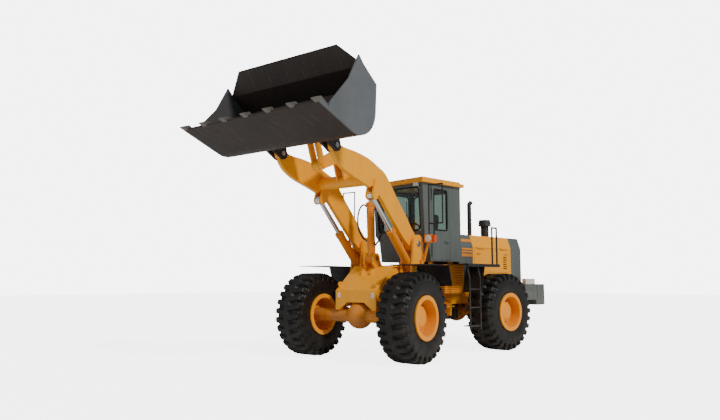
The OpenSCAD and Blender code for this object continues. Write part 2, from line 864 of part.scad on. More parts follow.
module cab_glass() {
    color("lightblue", 0.4) rear() {
        intersection() {
            slab(screen_pane, glass_y * 2, 0);
            screen_cut();
        }
        block([-cab_rear + cab_t / 2, -glass_y, glass_low],
            [-cab_rear + cab_t / 2 + glass_t, glass_y, glass_top]);
        block([-side_x1, -cab_y + cab_t / 2, glass_low],
            [-side_x0, -cab_y + cab_t / 2 + glass_t, glass_top]);
    }
}

module door() {
    color("slategray") rear() {
        difference() {
            block([door_front - door_len + lid_gap, cab_y - cab_t, door_low + lid_gap],
                [door_front - lid_gap, cab_y, door_top - lid_gap]);
            block([door_front - door_len + door_rim, cab_y - cab_t - over, door_glass_z],
                [door_front - door_rim, cab_y + over, door_top - door_rim]);
        }
        bent([[door_front - door_len + door_rim, cab_y - over, handle_z],
            [door_front - door_len + door_rim, cab_y + handle_out, handle_z],
            [door_front - door_len + door_rim + handle_len, cab_y + handle_out, handle_z],
            [door_front - door_len + door_rim + handle_len, cab_y - over, handle_z]], handle_r);
        at_door_hinges() hinge_moving();
    }
}

module door_glass() {
    color("lightblue", 0.4) rear() block([door_front - door_len + door_rim, cab_y - cab_t / 2,
        door_glass_z],
        [door_front - door_rim, cab_y - cab_t / 2 + glass_t, door_top - door_rim]);
}

module seat() {
    color("dimgray") rear() {
        block([-seat_x - seat_l / 4, -seat_w / 4, cab_floor_z + cab_t],
            [-seat_x + seat_l / 4, seat_w / 4, seat_z + over]);
        block([-seat_x - seat_l / 2, -seat_w / 2, seat_z],
            [-seat_x + seat_l / 2, seat_w / 2, seat_z + seat_t]);
        slab([[-seat_x - seat_l / 2, seat_z + over], [-seat_x - seat_l / 2 + seat_t, seat_z + over],
            [-seat_x - seat_l / 2, seat_z + back_h],
                [-seat_x - seat_l / 2 - seat_t * 0.7, seat_z + back_h]], seat_w * 0.9, 0);
    }
}

module steering_column() {
    color("dimgray") rear() {
        bar([-wheel_x, 0, cab_floor_z + cab_t], [-wheel_x, 0, wheel_z], column_r);
        translate([-wheel_x, 0, wheel_z]) rotate([0, -wheel_lean, 0]) {
            rotate_extrude() translate([wheel_r, 0]) circle(r = wheel_tube);
            for (a = [90 : 120 : 330]) rotate([0, 0, a]) bar([0, 0, 0], [wheel_r, 0, 0], wheel_tube * 0.8);
        }
    }
}

module lamps() {
    color("white") rear() {
        both() block([-lamp_x1, lamp_y0, weight_top], [-lamp_x0, lamp_y1, weight_top + lamp_h]);
        both() block([screen_top_x + sheet, work_y - work_w, roof_under - work_h],
            [screen_top_x + roof_lip, work_y + work_w, roof_under]);
    }
}

module lid() {
    difference() {
        block([-lid_x1, hood_y - hood_t, lid_z0], [-lid_x0, hood_y, lid_z1]);
        for (i = [0 : louvre_n - 1]) block([-lid_x1 + louvre_in, hood_y - hood_t - over,
            louvre_z + louvre_step * i],
            [-lid_x1 + louvre_in + louvre_w, hood_y + over, louvre_z + louvre_step * (i + 0.5)]);
    }
    for (x = [lid_x0 + handle_len, lid_x1 - handle_len * 2])
        bent([[-x, hood_y - over, lid_handle_z], [-x, hood_y + handle_out, lid_handle_z],
        [-x - handle_len, hood_y + handle_out, lid_handle_z],
            [-x - handle_len, hood_y - over, lid_handle_z]], handle_r);
    at_lid_hinges() hinge_moving();
}

module hood_door_left() {
    color("gold") rear() lid();
}

module hood_door_right() {
    color("gold") rear() mirror([0, 1, 0]) lid();
}

module front_frame() {
    color("goldenrod") front() difference() {
        union() {
            both() slab(cheek, plate, frame_y - plate / 2);
            slab(strut([slope_x, slope_z - sheet], [nose_x - sheet, nose_top - sheet], sheet, sheet),
                nose_y * 2, 0);
            block([flat_x, -nose_y, slope_z - sheet * 2], [slope_x, nose_y, slope_z]);
            slab(strut([front_wall, box_top - sheet], [flat_x, slope_z - sheet], sheet, sheet),
                frame_y * 2, 0);
            block([nose_x - plate, -nose_y, nose_low], [nose_x, nose_y, nose_top]);
            both() block([neck_back, front_neck - plate, neck_low],
                [front_wall + plate, front_neck, box_top]);
            block([front_wall, -frame_y, cross_low], [front_wall + plate, frame_y, box_top]);
            block([neck_back, -front_neck, neck_low], [neck_back + plate, front_neck, box_top]);
            block([tower_back, -tower_out - plate / 2, tower_foot],
                [tower_front, tower_out + plate / 2, box_top]);
            both() for (y = [tower_in, tower_out]) {
                slab(tower, plate, y);
                pin(boom_pin_x, boom_pin_z, tower_r, plate, y);
            }
            both() for (p = [[boom_pin_x, boom_pin_z], [lift_base_x, lift_base_z]])
                pin(p[0], p[1], pin_r, tower_out - tower_in + plate, arm_y);
            both() slab(tilt_bracket, plate, tilt_gap + plate / 2);
            both() pin(tilt_base_x, tilt_base_z, eye_r + sheet, plate, tilt_gap + plate / 2);
            for (z = [hinge_top, hinge_low]) for (s = [-1, 1])
                translate([0, 0, z + s * (lug_t + fork_t + gap_z * 2) / 2 - fork_t / 2]) {
                cylinder(r = lug_r, h = fork_t);
                block([0, -lug_r, 0], [neck_back + over, lug_r, fork_t]);
            }
            both() pin(eyelet_x, eyelet_z, eyelet_r, eyelet_t, eyelet_y);
            both() slab(strut([eyelet_x, eyelet_z], [eyelet_x - eyelet_r, eyelet_z - eyelet_r * 2],
                eyelet_r, eyelet_r), eyelet_t, eyelet_y);
            both() steer_lugs(steer_eye, 0, frame_y - over, steer_eye_h, 0);
        }
        translate([neck_back - over, 0, axle_z]) rotate([0, 90, 0])
            cylinder(r = shaft_hole, h = front_wall);
        translate([0, 0, hinge_low - pin_h]) cylinder(r = pin_r + fit, h = frame_top);
        translate([nose_x - plate - over, 0, 0]) rotate([90, 0, 90])
            linear_extrude(height = plate + over * 2) polygon(nose_arch);
        pin(tilt_base_x, tilt_base_z, pin_r + fit, nose_y, 0);
        both() pin(eyelet_x, eyelet_z, eyelet_hole, nose_y, eyelet_y);
        slab(strut([slot_x, slope_z], [slot_x + slot_l, slope_z - slot_l], slot_l, slot_l), slot_w, 0);
    }
}

module front_axle() {
    color("gray") front() translate([axle_front, 0, 0]) axle(-1, front_nose);
}

module front_shaft() {
    color("silver") front() translate([yoke_x, 0, axle_z]) rotate([0, 90, 0])
        cylinder(r = shaft_r, h = axle_front - front_nose - yoke_x);
}

module fenders() {
    color("dimgray") front() both()
        slab(fender, fender_out - tower_out - plate / 2, (fender_out + tower_out + plate / 2) / 2);
}

module lamp_arms() {
    color("darkorange") front() both() {
        block([lamp_x - arm_pad, tower_out + plate / 2, arm_foot - arm_pad],
            [lamp_x + arm_pad, tower_out + plate / 2 + arm_pad, arm_foot + arm_pad]);
        bar([lamp_x - head_l / 2, tower_out + plate / 2 + arm_r * 1.2, arm_foot],
            [lamp_x - head_l / 2, lamp_y, head_z], arm_r);
        block([lamp_x - head_l, lamp_y - head_w, head_z - head_w],
            [lamp_x, lamp_y + head_w, head_z + head_w]);
    }
}

module headlamps() {
    color("white") front() both() translate([lamp_x, lamp_y, head_z]) rotate([0, 90, 0])
        cylinder(r1 = head_w * 0.86, r2 = head_w * 0.7, h = lens_t);
}

module indicators() {
    color("orangered") front() both() block([lamp_x - head_l, lamp_y + head_w, head_z - head_w * 0.8],
        [lamp_x - sheet, lamp_y + head_w + blinker, head_z + head_w * 0.8]);
}

module lamp_rails() {
    color("black") front() both() {
        bent([[loop_x, lamp_y, head_z + head_w], [loop_x, lamp_y, loop_z1], [loop_x, loop_y, loop_z1],
            [loop_x, loop_y, loop_z0],
            [loop_x, lamp_y, loop_z0]], loop_r);
        bar([loop_x, lamp_y + head_w + blinker / 2, head_z + head_w * 0.8],
            [loop_x, lamp_y + head_w + blinker / 2, loop_z0], loop_r);
    }
}

module boom() {
    color("gold") front() difference() {
        union() {
            both() slab(boom_outline, arm_t, arm_y);
            both() pin(boom_pin_x, boom_pin_z, root_r, tower_out - tower_in - plate - side * 2, arm_y);
            both() pin(bucket_pin_x, bucket_pin_z, tip_r, arm_t, arm_y);
            pin(cross_x, cross_z, cross_r, arm_y * 2, 0);
            both() for (s = [-1, 1]) {
                pin(lift_eye_x, lift_eye_z, lift_ear, lift_cheek, arm_y + s * lift_cheek_y);
                slab(strut([lift_eye_x, lift_eye_z], boom_at(lift_share, lift_hold_share), lift_ear,
                    lift_ear * 1.4), lift_cheek,
                    arm_y + s * lift_cheek_y);
            }
            both() slab(strut([cross_x, cross_z], [crank_x, crank_z], crank_boss, crank_boss), ear_t,
                crank_gap + ear_t / 2);
            both() pin(crank_x, crank_z, crank_boss, ear_t, crank_gap + ear_t / 2);
        }
        pin(boom_pin_x, boom_pin_z, pin_r + fit, tower_out * 3, 0);
        pin(bucket_pin_x, bucket_pin_z, pin_r + fit, tower_out * 3, 0);
        pin(crank_x, crank_z, pin_r + fit, tower_in, 0);
        both() pin(lift_eye_x, lift_eye_z, lift_ear + lift_slack, lift_slot, arm_y);
        both() slab(strut([lift_eye_x, lift_eye_z],
            [lift_eye_x, lift_eye_z] - lift_r * 4 * unit(lift_tilt), lift_rod_r + lift_slack,
                lift_r + lift_slack), lift_slot, arm_y);
    }
}

module bucket_at() {
    front() translate([bucket_pin_x, 0, bucket_pin_z]) rotate([0, -bucket_roll, 0]) children();
}

module bucket_pins() {
    color("silver") front() both() pin(bucket_pin_x, bucket_pin_z, pin_r,
        bucket_gap * 2 + hinge_t * 2 + side * 2, arm_y);
}

module bucket() {
    color("dimgray") bucket_at() {
        slab(concat(bucket_shell(0), flip(bucket_shell(bucket_t))), bucket_y * 2, 0);
        both() slab(bucket_side, cheek_t, bucket_y - cheek_t / 2);
        translate([guard[0][0], 0, guard[0][1] - bucket_t]) rotate([0, -guard_lean, 0])
            linear_extrude(height = bucket_t)
            polygon([[-over, -bucket_y], [guard_len, -guard_y], [guard_len, guard_y], [-over, bucket_y]]);
        block([edge_x - edge_l, -bucket_y, -floor_drop], [edge_x, bucket_y, -floor_drop + edge_t]);
        difference() {
            union() {
                both() for (s = [-1, 1]) {
                    pin(0, 0, hinge_r, hinge_t, arm_y + s * (bucket_gap + hinge_t / 2));
                    slab(hinge_ear, hinge_t, arm_y + s * (bucket_gap + hinge_t / 2));
                }
                both() pin(eye_bx, eye_bz, link_ear, ear_t, link_gap + ear_t / 2);
                both() slab(link_lug, ear_t, link_gap + ear_t / 2);
                pin(eye_bx, eye_bz, pin_r, (link_gap + ear_t + sheet) * 2, 0);
            }
            slab(bucket_hollow, bucket_y * 2, 0);
            pin(0, 0, pin_r + fit, bucket_y * 2, 0);
        }
    }
}

module bucket_teeth() {
    color("silver") bucket_at() for (i = [0 : tooth_count - 1])
        slab(tooth, tooth_w, -tooth_y + 2 * tooth_y * i / (tooth_count - 1));
}

module bellcrank() {
    color("gold") front() difference() {
        union() {
            slab(strut([crank_x, crank_z], [link_low_x, link_low_z], crank_boss, eye_r), crank_t, 0);
            slab(strut([crank_x, crank_z], [tilt_eye_x, tilt_eye_z], crank_boss, eye_r), crank_t, 0);
            pin(crank_x, crank_z, crank_boss * bead, crank_t, 0);
            pin(link_low_x, link_low_z, eye_r, crank_t, 0);
            pin(tilt_eye_x, tilt_eye_z, eye_r, crank_t, 0);
        }
        pin(crank_x, crank_z, pin_r + fit, crank_t * 2, 0);
    }
}

module bellcrank_pin() {
    color("silver") front() pin(crank_x, crank_z, pin_r, (crank_gap + ear_t + sheet) * 2, 0);
}

module link() {
    color("goldenrod") front() {
        both() pin(link_low_x, link_low_z, eye_r, ear_t, crank_gap + ear_t / 2);
        both() pin(link_low_x, link_low_z, pin_r, ear_t + sheet, crank_gap + (ear_t + sheet) / 2);
        difference() {
            union() {
                pin(link_top_x, link_top_z, eye_r, (crank_gap + ear_t) * 2, 0);
                both() slab(strut([link_low_x, link_low_z], [link_top_x, link_top_z], eye_r * 0.8,
                    eye_r * 0.8), ear_t, crank_gap + ear_t / 2);
            }
            pin(link_top_x, link_top_z, pin_r + fit, link_gap * 4, 0);
        }
    }
}

module along_lift(y) {
    front() translate([lift_base_x, y, lift_base_z]) rotate([0, 90 - lift_tilt, 0]) children();
}

module lift_barrels() {
    color("darkorange") for (y = [-arm_y, arm_y]) along_lift(y) difference() {
        union() {
            rotate([90, 0, 0]) cylinder(r = eye_r, h = tower_out - tower_in - plate - side * 2,
                center = true);
            cylinder(r = lift_r, h = lift_barrel);
            translate([0, 0, lift_barrel - gland]) cylinder(r = lift_r + gland_lip, h = gland);
        }
        rotate([90, 0, 0]) cylinder(r = pin_r + fit, h = tower_out, center = true);
        translate([0, 0, lift_bottom]) cylinder(r = lift_rod_r + fit, h = lift_barrel);
    }
}

module lift_rods() {
    color("silver") for (y = [-arm_y, arm_y]) along_lift(y) {
        translate([0, 0, lift_len - lift_rod_len]) cylinder(r = lift_rod_r, h = lift_rod_len);
        translate([0, 0, lift_len]) rotate([90, 0, 0])
            cylinder(r = lift_ear, h = lift_slot - side * 2, center = true);
    }
}

module along_tilt() {
    front() translate([tilt_base_x, 0, tilt_base_z]) rotate([0, 90 - tilt_tilt, 0]) children();
}

module tilt_pin() {
    color("silver") front() pin(tilt_base_x, tilt_base_z, pin_r, (tilt_gap + plate + sheet) * 2, 0);
}

module tilt_barrel() {
    color("darkorange") along_tilt() difference() {
        union() {
            rotate([90, 0, 0]) cylinder(r = eye_r, h = (tilt_gap - side) * 2, center = true);
            cylinder(r = tilt_r, h = tilt_barrel_len);
            translate([0, 0, tilt_barrel_len - gland]) cylinder(r = tilt_r + gland_lip, h = gland);
        }
        rotate([90, 0, 0]) cylinder(r = pin_r + fit, h = tower_out, center = true);
        translate([0, 0, tilt_bottom]) cylinder(r = tilt_rod_r + fit, h = tilt_barrel_len);
    }
}

module tilt_rod() {
    color("silver") along_tilt() {
        translate([0, 0, tilt_len - tilt_rod_len]) cylinder(r = tilt_rod_r, h = tilt_rod_len - fork_deep);
        translate([-eye_r * 0.8, -crank_gap - ear_t, tilt_len - fork_deep - ear_t])
            cube([eye_r * 1.6, (crank_gap + ear_t) * 2, ear_t]);
        for (s = [-1, 1]) translate([0, s * (crank_gap + ear_t / 2), tilt_len]) {
            rotate([90, 0, 0]) cylinder(r = eye_r * 0.9, h = ear_t, center = true);
            translate([-eye_r * 0.8, -ear_t / 2, -fork_deep - over]) cube([eye_r * 1.6, ear_t, fork_deep]);
        }
    }
}

module along_steer(s) {
    p = [steer_base[0], s * steer_base[1]];
    d = turned([steer_eye[0], s * steer_eye[1]], rest_steer) - p;
    rear() translate([p[0], p[1], steer_z]) rotate([0, 90, atan2(d[1], d[0])]) children();
}

function steer_len(s) = norm(turned([steer_eye[0], s * steer_eye[1]], rest_steer)
    - [steer_base[0], s * steer_base[1]]);

module steer_barrel_shape(s) {
    color("darkorange") along_steer(s) difference() {
        union() {
            rotate([0, 90, 0]) cylinder(r = steer_r, h = steer_h, center = true);
            cylinder(r = steer_r * 0.9, h = steer_barrel);
        }
        rotate([0, 90, 0]) cylinder(r = steer_pin + fit, h = steer_h * 2, center = true);
        translate([0, 0, steer_bottom]) cylinder(r = steer_rod_r + fit, h = steer_barrel);
    }
}

module steer_rod_shape(s) {
    color("silver") along_steer(s) {
        translate([0, 0, steer_len(s) - steer_rod_len]) cylinder(r = steer_rod_r, h = steer_rod_len);
        translate([0, 0, steer_len(s)]) rotate([0, 90, 0])
            cylinder(r = steer_r * 0.9, h = steer_eye_h, center = true);
    }
}

module steer_barrel_left() {
    steer_barrel_shape(1);
}

module steer_barrel_right() {
    steer_barrel_shape(-1);
}

module steer_rod_left() {
    steer_rod_shape(1);
}

module steer_rod_right() {
    steer_rod_shape(-1);
}

module tyre_front_left() {
    front() wheel_at(axle_front, track / 2, 1) tyre();
}

module tyre_front_right() {
    front() wheel_at(axle_front, -track / 2, -1) tyre();
}

module tyre_rear_left() {
    rear() wheel_at(-axle_rear, track / 2, 1) tyre();
}

module tyre_rear_right() {
    rear() wheel_at(-axle_rear, -track / 2, -1) tyre();
}

module rim_front_left() {
    front() wheel_at(axle_front, track / 2, 1) rim();
}

module rim_front_right() {
    front() wheel_at(axle_front, -track / 2, -1) rim();
}

module rim_rear_left() {
    rear() wheel_at(-axle_rear, track / 2, 1) rim();
}

module rim_rear_right() {
    rear() wheel_at(-axle_rear, -track / 2, -1) rim();
}

rear_frame();
rear_axle();
counterweight();
hood_front();
hood_main();
hood_rear();
grille();
engine_block();
rear_shaft();
exhaust();
precleaner();
platforms();
ladders();
handrails();
side_tanks();
cab_base();
cab_roof();
cab_glass();
door();
door_glass();
seat();
steering_column();
lamps();
hood_door_left();
hood_door_right();
front_frame();
front_axle();
front_shaft();
fenders();
lamp_arms();
headlamps();
indicators();
lamp_rails();
boom();
bucket_pins();
bucket();
bucket_teeth();
bellcrank();
bellcrank_pin();
link();
lift_barrels();
lift_rods();
tilt_pin();
tilt_barrel();
tilt_rod();
steer_barrel_left();
steer_barrel_right();
steer_rod_left();
steer_rod_right();
tyre_front_left();
tyre_front_right();
tyre_rear_left();
tyre_rear_right();
rim_front_left();
rim_front_right();
rim_rear_left();
rim_rear_right();
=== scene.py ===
# %% [markdown]
# # An articulated wheel loader
#
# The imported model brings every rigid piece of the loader: frames, cab, boom, bucket, cylinders and wheels.
# This lesson dresses it. Each step names what the real machine has there, makes the surface with numpy
# and gives it a procedural finish, so that nothing depends on a picture file.

# %% Load the frame and keep its box
import json
import math

import bmesh
import bpy
import numpy as np
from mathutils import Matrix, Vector


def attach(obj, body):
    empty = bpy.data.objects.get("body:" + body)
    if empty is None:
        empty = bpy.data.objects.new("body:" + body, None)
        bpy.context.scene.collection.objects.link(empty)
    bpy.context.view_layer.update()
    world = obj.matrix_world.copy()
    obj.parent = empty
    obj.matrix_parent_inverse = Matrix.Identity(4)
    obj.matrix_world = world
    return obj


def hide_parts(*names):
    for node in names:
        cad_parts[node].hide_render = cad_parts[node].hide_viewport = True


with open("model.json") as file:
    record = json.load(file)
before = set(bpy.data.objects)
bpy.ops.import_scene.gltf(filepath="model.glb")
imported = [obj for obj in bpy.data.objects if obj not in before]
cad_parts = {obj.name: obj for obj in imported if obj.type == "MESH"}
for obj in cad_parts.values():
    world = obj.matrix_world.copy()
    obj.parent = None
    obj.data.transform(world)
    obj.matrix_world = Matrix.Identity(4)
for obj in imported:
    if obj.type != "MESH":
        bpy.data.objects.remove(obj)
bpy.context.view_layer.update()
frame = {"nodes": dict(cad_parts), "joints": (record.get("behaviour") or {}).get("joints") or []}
nodes = frame["nodes"]
joints = {joint["name"]: joint for joint in frame["joints"]}

# %% [markdown]
# The rear half runs along X. The front half is turned about the centre hinge, so it has axes of its own.
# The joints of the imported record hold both: the steering hinge gives the origin, and the axis of the
# bucket gives the sideways direction of the front half.

# %% Axes of the two halves
UP = np.array([0.0, 0.0, 1.0])
hinge = np.array(joints["steer"]["pos_m"]) * [1, 1, 0]
side_front = np.array(joints["bucket_tilt"]["axis"])
fore_front = np.cross(side_front, UP)
side_rear = np.array([0.0, 1.0, 0.0])
fore_rear = np.array([1.0, 0.0, 0.0])


def at_front(points):
    """Points of the front half, forward, left and up from the hinge, carried into the shared frame."""
    p = np.asarray(points, float)
    return hinge + p[..., :1] * fore_front + p[..., 1:2] * side_front + p[..., 2:] * UP


def at_rear(points):
    """Points of the rear half, forward, left and up from the hinge, carried into the shared frame."""
    return hinge + np.asarray(points, float)


print("front half turned by", round(math.degrees(math.atan2(fore_front[1], fore_front[0])), 2), "degrees")

# %% [markdown]
# The camera stands where the photographer stood: ahead of the machine, on its left, at chest height, and it
# looks slightly up. A focal length in pixels over the picture's width gives the lens for a 36 mm sensor.

# %% Camera
CAMERA_PLACE = (9.646, 9.0, 1.439)
CAMERA_YAW = math.radians(227.18)
CAMERA_PITCH = math.radians(6.40)
FOCAL_PIXELS = 629.44
PICTURE_WIDTH = 720
SENSOR = 36.0

look = np.array([
    math.cos(CAMERA_PITCH) * math.cos(CAMERA_YAW),
    math.cos(CAMERA_PITCH) * math.sin(CAMERA_YAW),
    math.sin(CAMERA_PITCH),
])
camera_data = bpy.data.cameras.new("camera")
camera_data.sensor_width = SENSOR
camera_data.lens = FOCAL_PIXELS / PICTURE_WIDTH * SENSOR
camera = bpy.data.objects.new("camera", camera_data)
bpy.context.scene.collection.objects.link(camera)
camera.location = at_rear(CAMERA_PLACE)
camera.rotation_mode = "QUATERNION"
camera.rotation_quaternion = Vector(look).to_track_quat("-Z", "Y")
bpy.context.scene.camera = camera
print("lens", round(camera_data.lens, 2), "mm")

# %% [markdown]
# Every new surface below is a grid of points: a function of two parameters, worked out for the whole grid at
# once. This helper turns such a grid into a mesh. A direction that closes on itself, such as the way round a
# tube, joins its last row to its first, and the two open ends of a tube are shut with a face each.

# %% From a grid of points to a mesh
def grid_faces(rows, columns, closed_rows, closed_columns):
    """Quads of a rows by columns grid: each joins a point, its neighbour along, across and both."""
    r = np.arange(rows if closed_rows else rows - 1)
    c = np.arange(columns if closed_columns else columns - 1)
    i, j = np.meshgrid(r, c, indexing="ij")
    i2, j2 = (i + 1) % rows, (j + 1) % columns
    return np.stack([i * columns + j, i2 * columns + j, i2 * columns + j2, i * columns + j2], -1).reshape(-1, 4)


def mesh_piece(name, points, faces, body, material, smooth=True, ends=()):
    """A piece from an array of points and one of faces, riding on a body."""
    mesh = bpy.data.meshes.new(name)
    mesh.from_pydata(np.asarray(points).reshape(-1, 3).tolist(), [], list(map(list, faces)) + list(map(list, ends)))
    mesh.polygons.foreach_set("use_smooth", np.full(len(mesh.polygons), smooth))
    mesh.update()
    piece = bpy.data.objects.new(name, mesh)
    bpy.context.scene.collection.objects.link(piece)
    mesh.materials.append(material)
    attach(piece, body)
    return piece


def outward(piece):
    """Turns every face of a closed piece outwards, after doubled points are merged."""
    work = bmesh.new()
    work.from_mesh(piece.data)
    bmesh.ops.remove_doubles(work, verts=work.verts, dist=1e-6)
    bmesh.ops.recalc_face_normals(work, faces=work.faces)
    work.to_mesh(piece.data)
    work.free()
    return piece


print("a 3 by 4 closed tube has", len(grid_faces(3, 4, False, True)), "faces")

# %% [markdown]
# Paint on a working machine is never one flat colour. Three effects come back in almost every finish here:
# large soft mottling, dust that gathers low down and in patches, and faint streaks that run down a wall.
# Each is a mask between 0 and 1, so they live in one shader group and every material takes its own amount.

# %% Shared weathering group
def new_node(tree, kind, inputs=None, **settings):
    """A node with its settings and input values, given by input name or number; a socket is linked."""
    node = tree.nodes.new(kind)
    for key, value in settings.items():
        setattr(node, key, value)
    for key, value in (inputs or {}).items():
        if isinstance(value, bpy.types.NodeSocket):
            tree.links.new(value, node.inputs[key])
        else:
            node.inputs[key].default_value = value
    return node


def shader_group(name, inputs, outputs):
    """An empty node group with named float inputs, given with their defaults, and named outputs."""
    tree = bpy.data.node_groups.new(name, "ShaderNodeTree")
    for label, default in inputs.items():
        socket = tree.interface.new_socket(label, in_out="INPUT", socket_type="NodeSocketFloat")
        socket.default_value = default
    for label, kind in outputs.items():
        tree.interface.new_socket(label, in_out="OUTPUT", socket_type=kind)
    return tree, tree.nodes.new("NodeGroupInput"), tree.nodes.new("NodeGroupOutput")


FLOAT = "NodeSocketFloat"
weather, weather_in, weather_out = shader_group(
    "weathering",
    {"Dust height": 1.6, "Mottle scale": 1.3, "Fine scale": 90.0},
    {"Mottle": FLOAT, "Dust": FLOAT, "Streaks": FLOAT, "Fine": FLOAT},
)
place = new_node(weather, "ShaderNodeTexCoord").outputs["Object"]
mottle = new_node(weather, "ShaderNodeTexNoise", {
    "Vector": place, "Scale": weather_in.outputs["Mottle scale"], "Detail": 5.0, "Roughness": 0.62})
fine = new_node(weather, "ShaderNodeTexNoise", {
    "Vector": place, "Scale": weather_in.outputs["Fine scale"], "Detail": 2.0})
tall = new_node(weather, "ShaderNodeMapping", {"Vector": place, "Scale": (9.0, 9.0, 0.55)})
streaks = new_node(weather, "ShaderNodeTexNoise", {"Vector": tall.outputs[0], "Scale": 1.6, "Detail": 4.0})
streak_mask = new_node(weather, "ShaderNodeMapRange", {
    "Value": streaks.outputs["Fac"], "From Min": 0.52, "From Max": 0.75})
height = new_node(weather, "ShaderNodeSeparateXYZ", {0: place}).outputs["Z"]
low = new_node(weather, "ShaderNodeMath", {0: height, 1: weather_in.outputs["Dust height"]}, operation="DIVIDE")
low_mask = new_node(weather, "ShaderNodeMapRange", {
    "Value": low.outputs[0], "From Min": 0.15, "From Max": 1.1, "To Min": 1.0, "To Max": 0.0})
patch = new_node(weather, "ShaderNodeTexNoise", {"Vector": place, "Scale": 5.5, "Detail": 6.0, "Roughness": 0.7})
patch_mask = new_node(weather, "ShaderNodeMapRange", {
    "Value": patch.outputs["Fac"], "From Min": 0.38, "From Max": 0.68})
dust = new_node(weather, "ShaderNodeMath", {0: low_mask.outputs[0], 1: patch_mask.outputs[0]}, operation="MULTIPLY")
for label, socket in (("Mottle", mottle.outputs["Fac"]), ("Dust", dust.outputs[0]),
                      ("Streaks", streak_mask.outputs[0]), ("Fine", fine.outputs["Fac"])):
    weather.links.new(socket, weather_out.inputs[label])
print("weathering group gives", [socket.name for socket in weather_out.inputs if socket.name])

# %% [markdown]
# A painted panel mixes a main and a darker colour by the mottling, lays dust over the lower parts and lets
# rain streaks dull it. The orange-peel of sprayed paint is a fine bump. The Principled shader stays in the
# material itself, where the export can read its sockets.

# %% Painted finishes
DUST_COLOUR = (0.30, 0.25, 0.19, 1.0)
GLOSS = 0.3


def mix_colour(tree, factor, first, second):
    """A colour between two by a factor from 0 to 1, each a socket or a constant."""
    node = new_node(tree, "ShaderNodeMix", data_type="RGBA")
    for index, value in ((0, factor), (6, first), (7, second)):
        if isinstance(value, bpy.types.NodeSocket):
            tree.links.new(value, node.inputs[index])
        else:
            node.inputs[index].default_value = value
    return node.outputs[2]


def scaled(tree, socket, amount):
    """A mask times a constant amount."""
    return new_node(tree, "ShaderNodeMath", {0: socket, 1: amount}, operation="MULTIPLY").outputs[0]


def blank_material(name):
    """A material with its Principled shader and the weathering group placed in it."""
    material = bpy.data.materials.new(name)
    material.use_nodes = True
    tree = material.node_tree
    shader = tree.nodes["Principled BSDF"]
    wear = new_node(tree, "ShaderNodeGroup", node_tree=weather)
    return material, tree, shader, wear


def paint(name, main, dark, rough=0.36, dusty=0.2, streaky=0.2, peel=0.05, coat=0.12, dust_height=1.6):
    """Sprayed paint: mottled between two colours, streaked, dusty low down, with a fine bump."""
    material, tree, shader, wear = blank_material(name)
    wear.inputs["Dust height"].default_value = dust_height
    base = mix_colour(tree, wear.outputs["Mottle"], (*main, 1), (*dark, 1))
    streaked = mix_colour(tree, scaled(tree, wear.outputs["Streaks"], streaky), base, (*[c * 0.62 for c in dark], 1))
    dusted = mix_colour(tree, scaled(tree, wear.outputs["Dust"], dusty), streaked, DUST_COLOUR)
    tree.links.new(dusted, shader.inputs["Base Color"])
    gloss = new_node(tree, "ShaderNodeMapRange", {
        "Value": wear.outputs["Dust"], "To Min": rough, "To Max": min(0.95, rough + 0.45)})
    tree.links.new(gloss.outputs[0], shader.inputs["Roughness"])
    bump = new_node(tree, "ShaderNodeBump", {"Height": wear.outputs["Fine"], "Strength": peel, "Distance": 0.002})
    tree.links.new(bump.outputs[0], shader.inputs["Normal"])
    shader.inputs["Coat Weight"].default_value = coat
    shader.inputs["Coat Roughness"].default_value = 0.12
    shader.inputs["Specular IOR Level"].default_value = GLOSS
    return material


AMBER = (0.95, 0.42, 0.006)
AMBER_DARK = (0.88, 0.33, 0.004)
ORANGE = (0.84, 0.28, 0.004)
ORANGE_DARK = (0.68, 0.20, 0.003)
GREY = (0.115, 0.135, 0.13)
GREY_DARK = (0.075, 0.09, 0.088)
BLACK = (0.012, 0.012, 0.014)
BLACK_DARK = (0.02, 0.019, 0.018)

body_yellow = paint("body_yellow", AMBER, AMBER_DARK)
shade_orange = paint("shade_orange", ORANGE, ORANGE_DARK)
wheel_orange = paint("wheel_orange", (0.92, 0.36, 0.005), ORANGE, dust_height=1.1)
trim_grey = paint("trim_grey", GREY, GREY_DARK, rough=0.42, dusty=0.35, streaky=0.35)
black_paint = paint("black_paint", BLACK, BLACK_DARK, rough=0.45, dusty=0.3, coat=0.1)
axle_paint = paint("axle_paint", ORANGE, (0.34, 0.12, 0.02), rough=0.55, dusty=0.4, streaky=0.5, coat=0.0)
painted = (body_yellow, shade_orange, wheel_orange, trim_grey, black_paint, axle_paint)
print("painted finishes:", [finish.name for finish in painted])

# %% [markdown]
# Bare metals need little colour: a hard chromed rod is nearly a mirror with fine turning marks, a worn pin is
# rougher, and cast iron is dark and grainy. The glass of the cab is tinted green and passes the light.

# %% Metals, glass, lenses and vinyl
def metal(name, colour, rough, grain, metallic=1.0, dusty=0.15):
    """Bare metal: a constant colour dulled by dust, its roughness varied by a fine noise."""
    material, tree, shader, wear = blank_material(name)
    wear.inputs["Fine scale"].default_value = grain
    dulled = mix_colour(tree, scaled(tree, wear.outputs["Dust"], dusty), (*colour, 1), DUST_COLOUR)
    stained = mix_colour(tree, scaled(tree, wear.outputs["Mottle"], 0.35), dulled, (*[c * 0.6 for c in colour], 1))
    tree.links.new(stained, shader.inputs["Base Color"])
    shader.inputs["Metallic"].default_value = metallic
    gloss = new_node(tree, "ShaderNodeMapRange", {
        "Value": wear.outputs["Fine"], "To Min": rough * 0.7, "To Max": rough * 1.3})
    tree.links.new(gloss.outputs[0], shader.inputs["Roughness"])
    bump = new_node(tree, "ShaderNodeBump", {"Height": wear.outputs["Fine"], "Strength": 0.08, "Distance": 0.001})
    tree.links.new(bump.outputs[0], shader.inputs["Normal"])
    return material


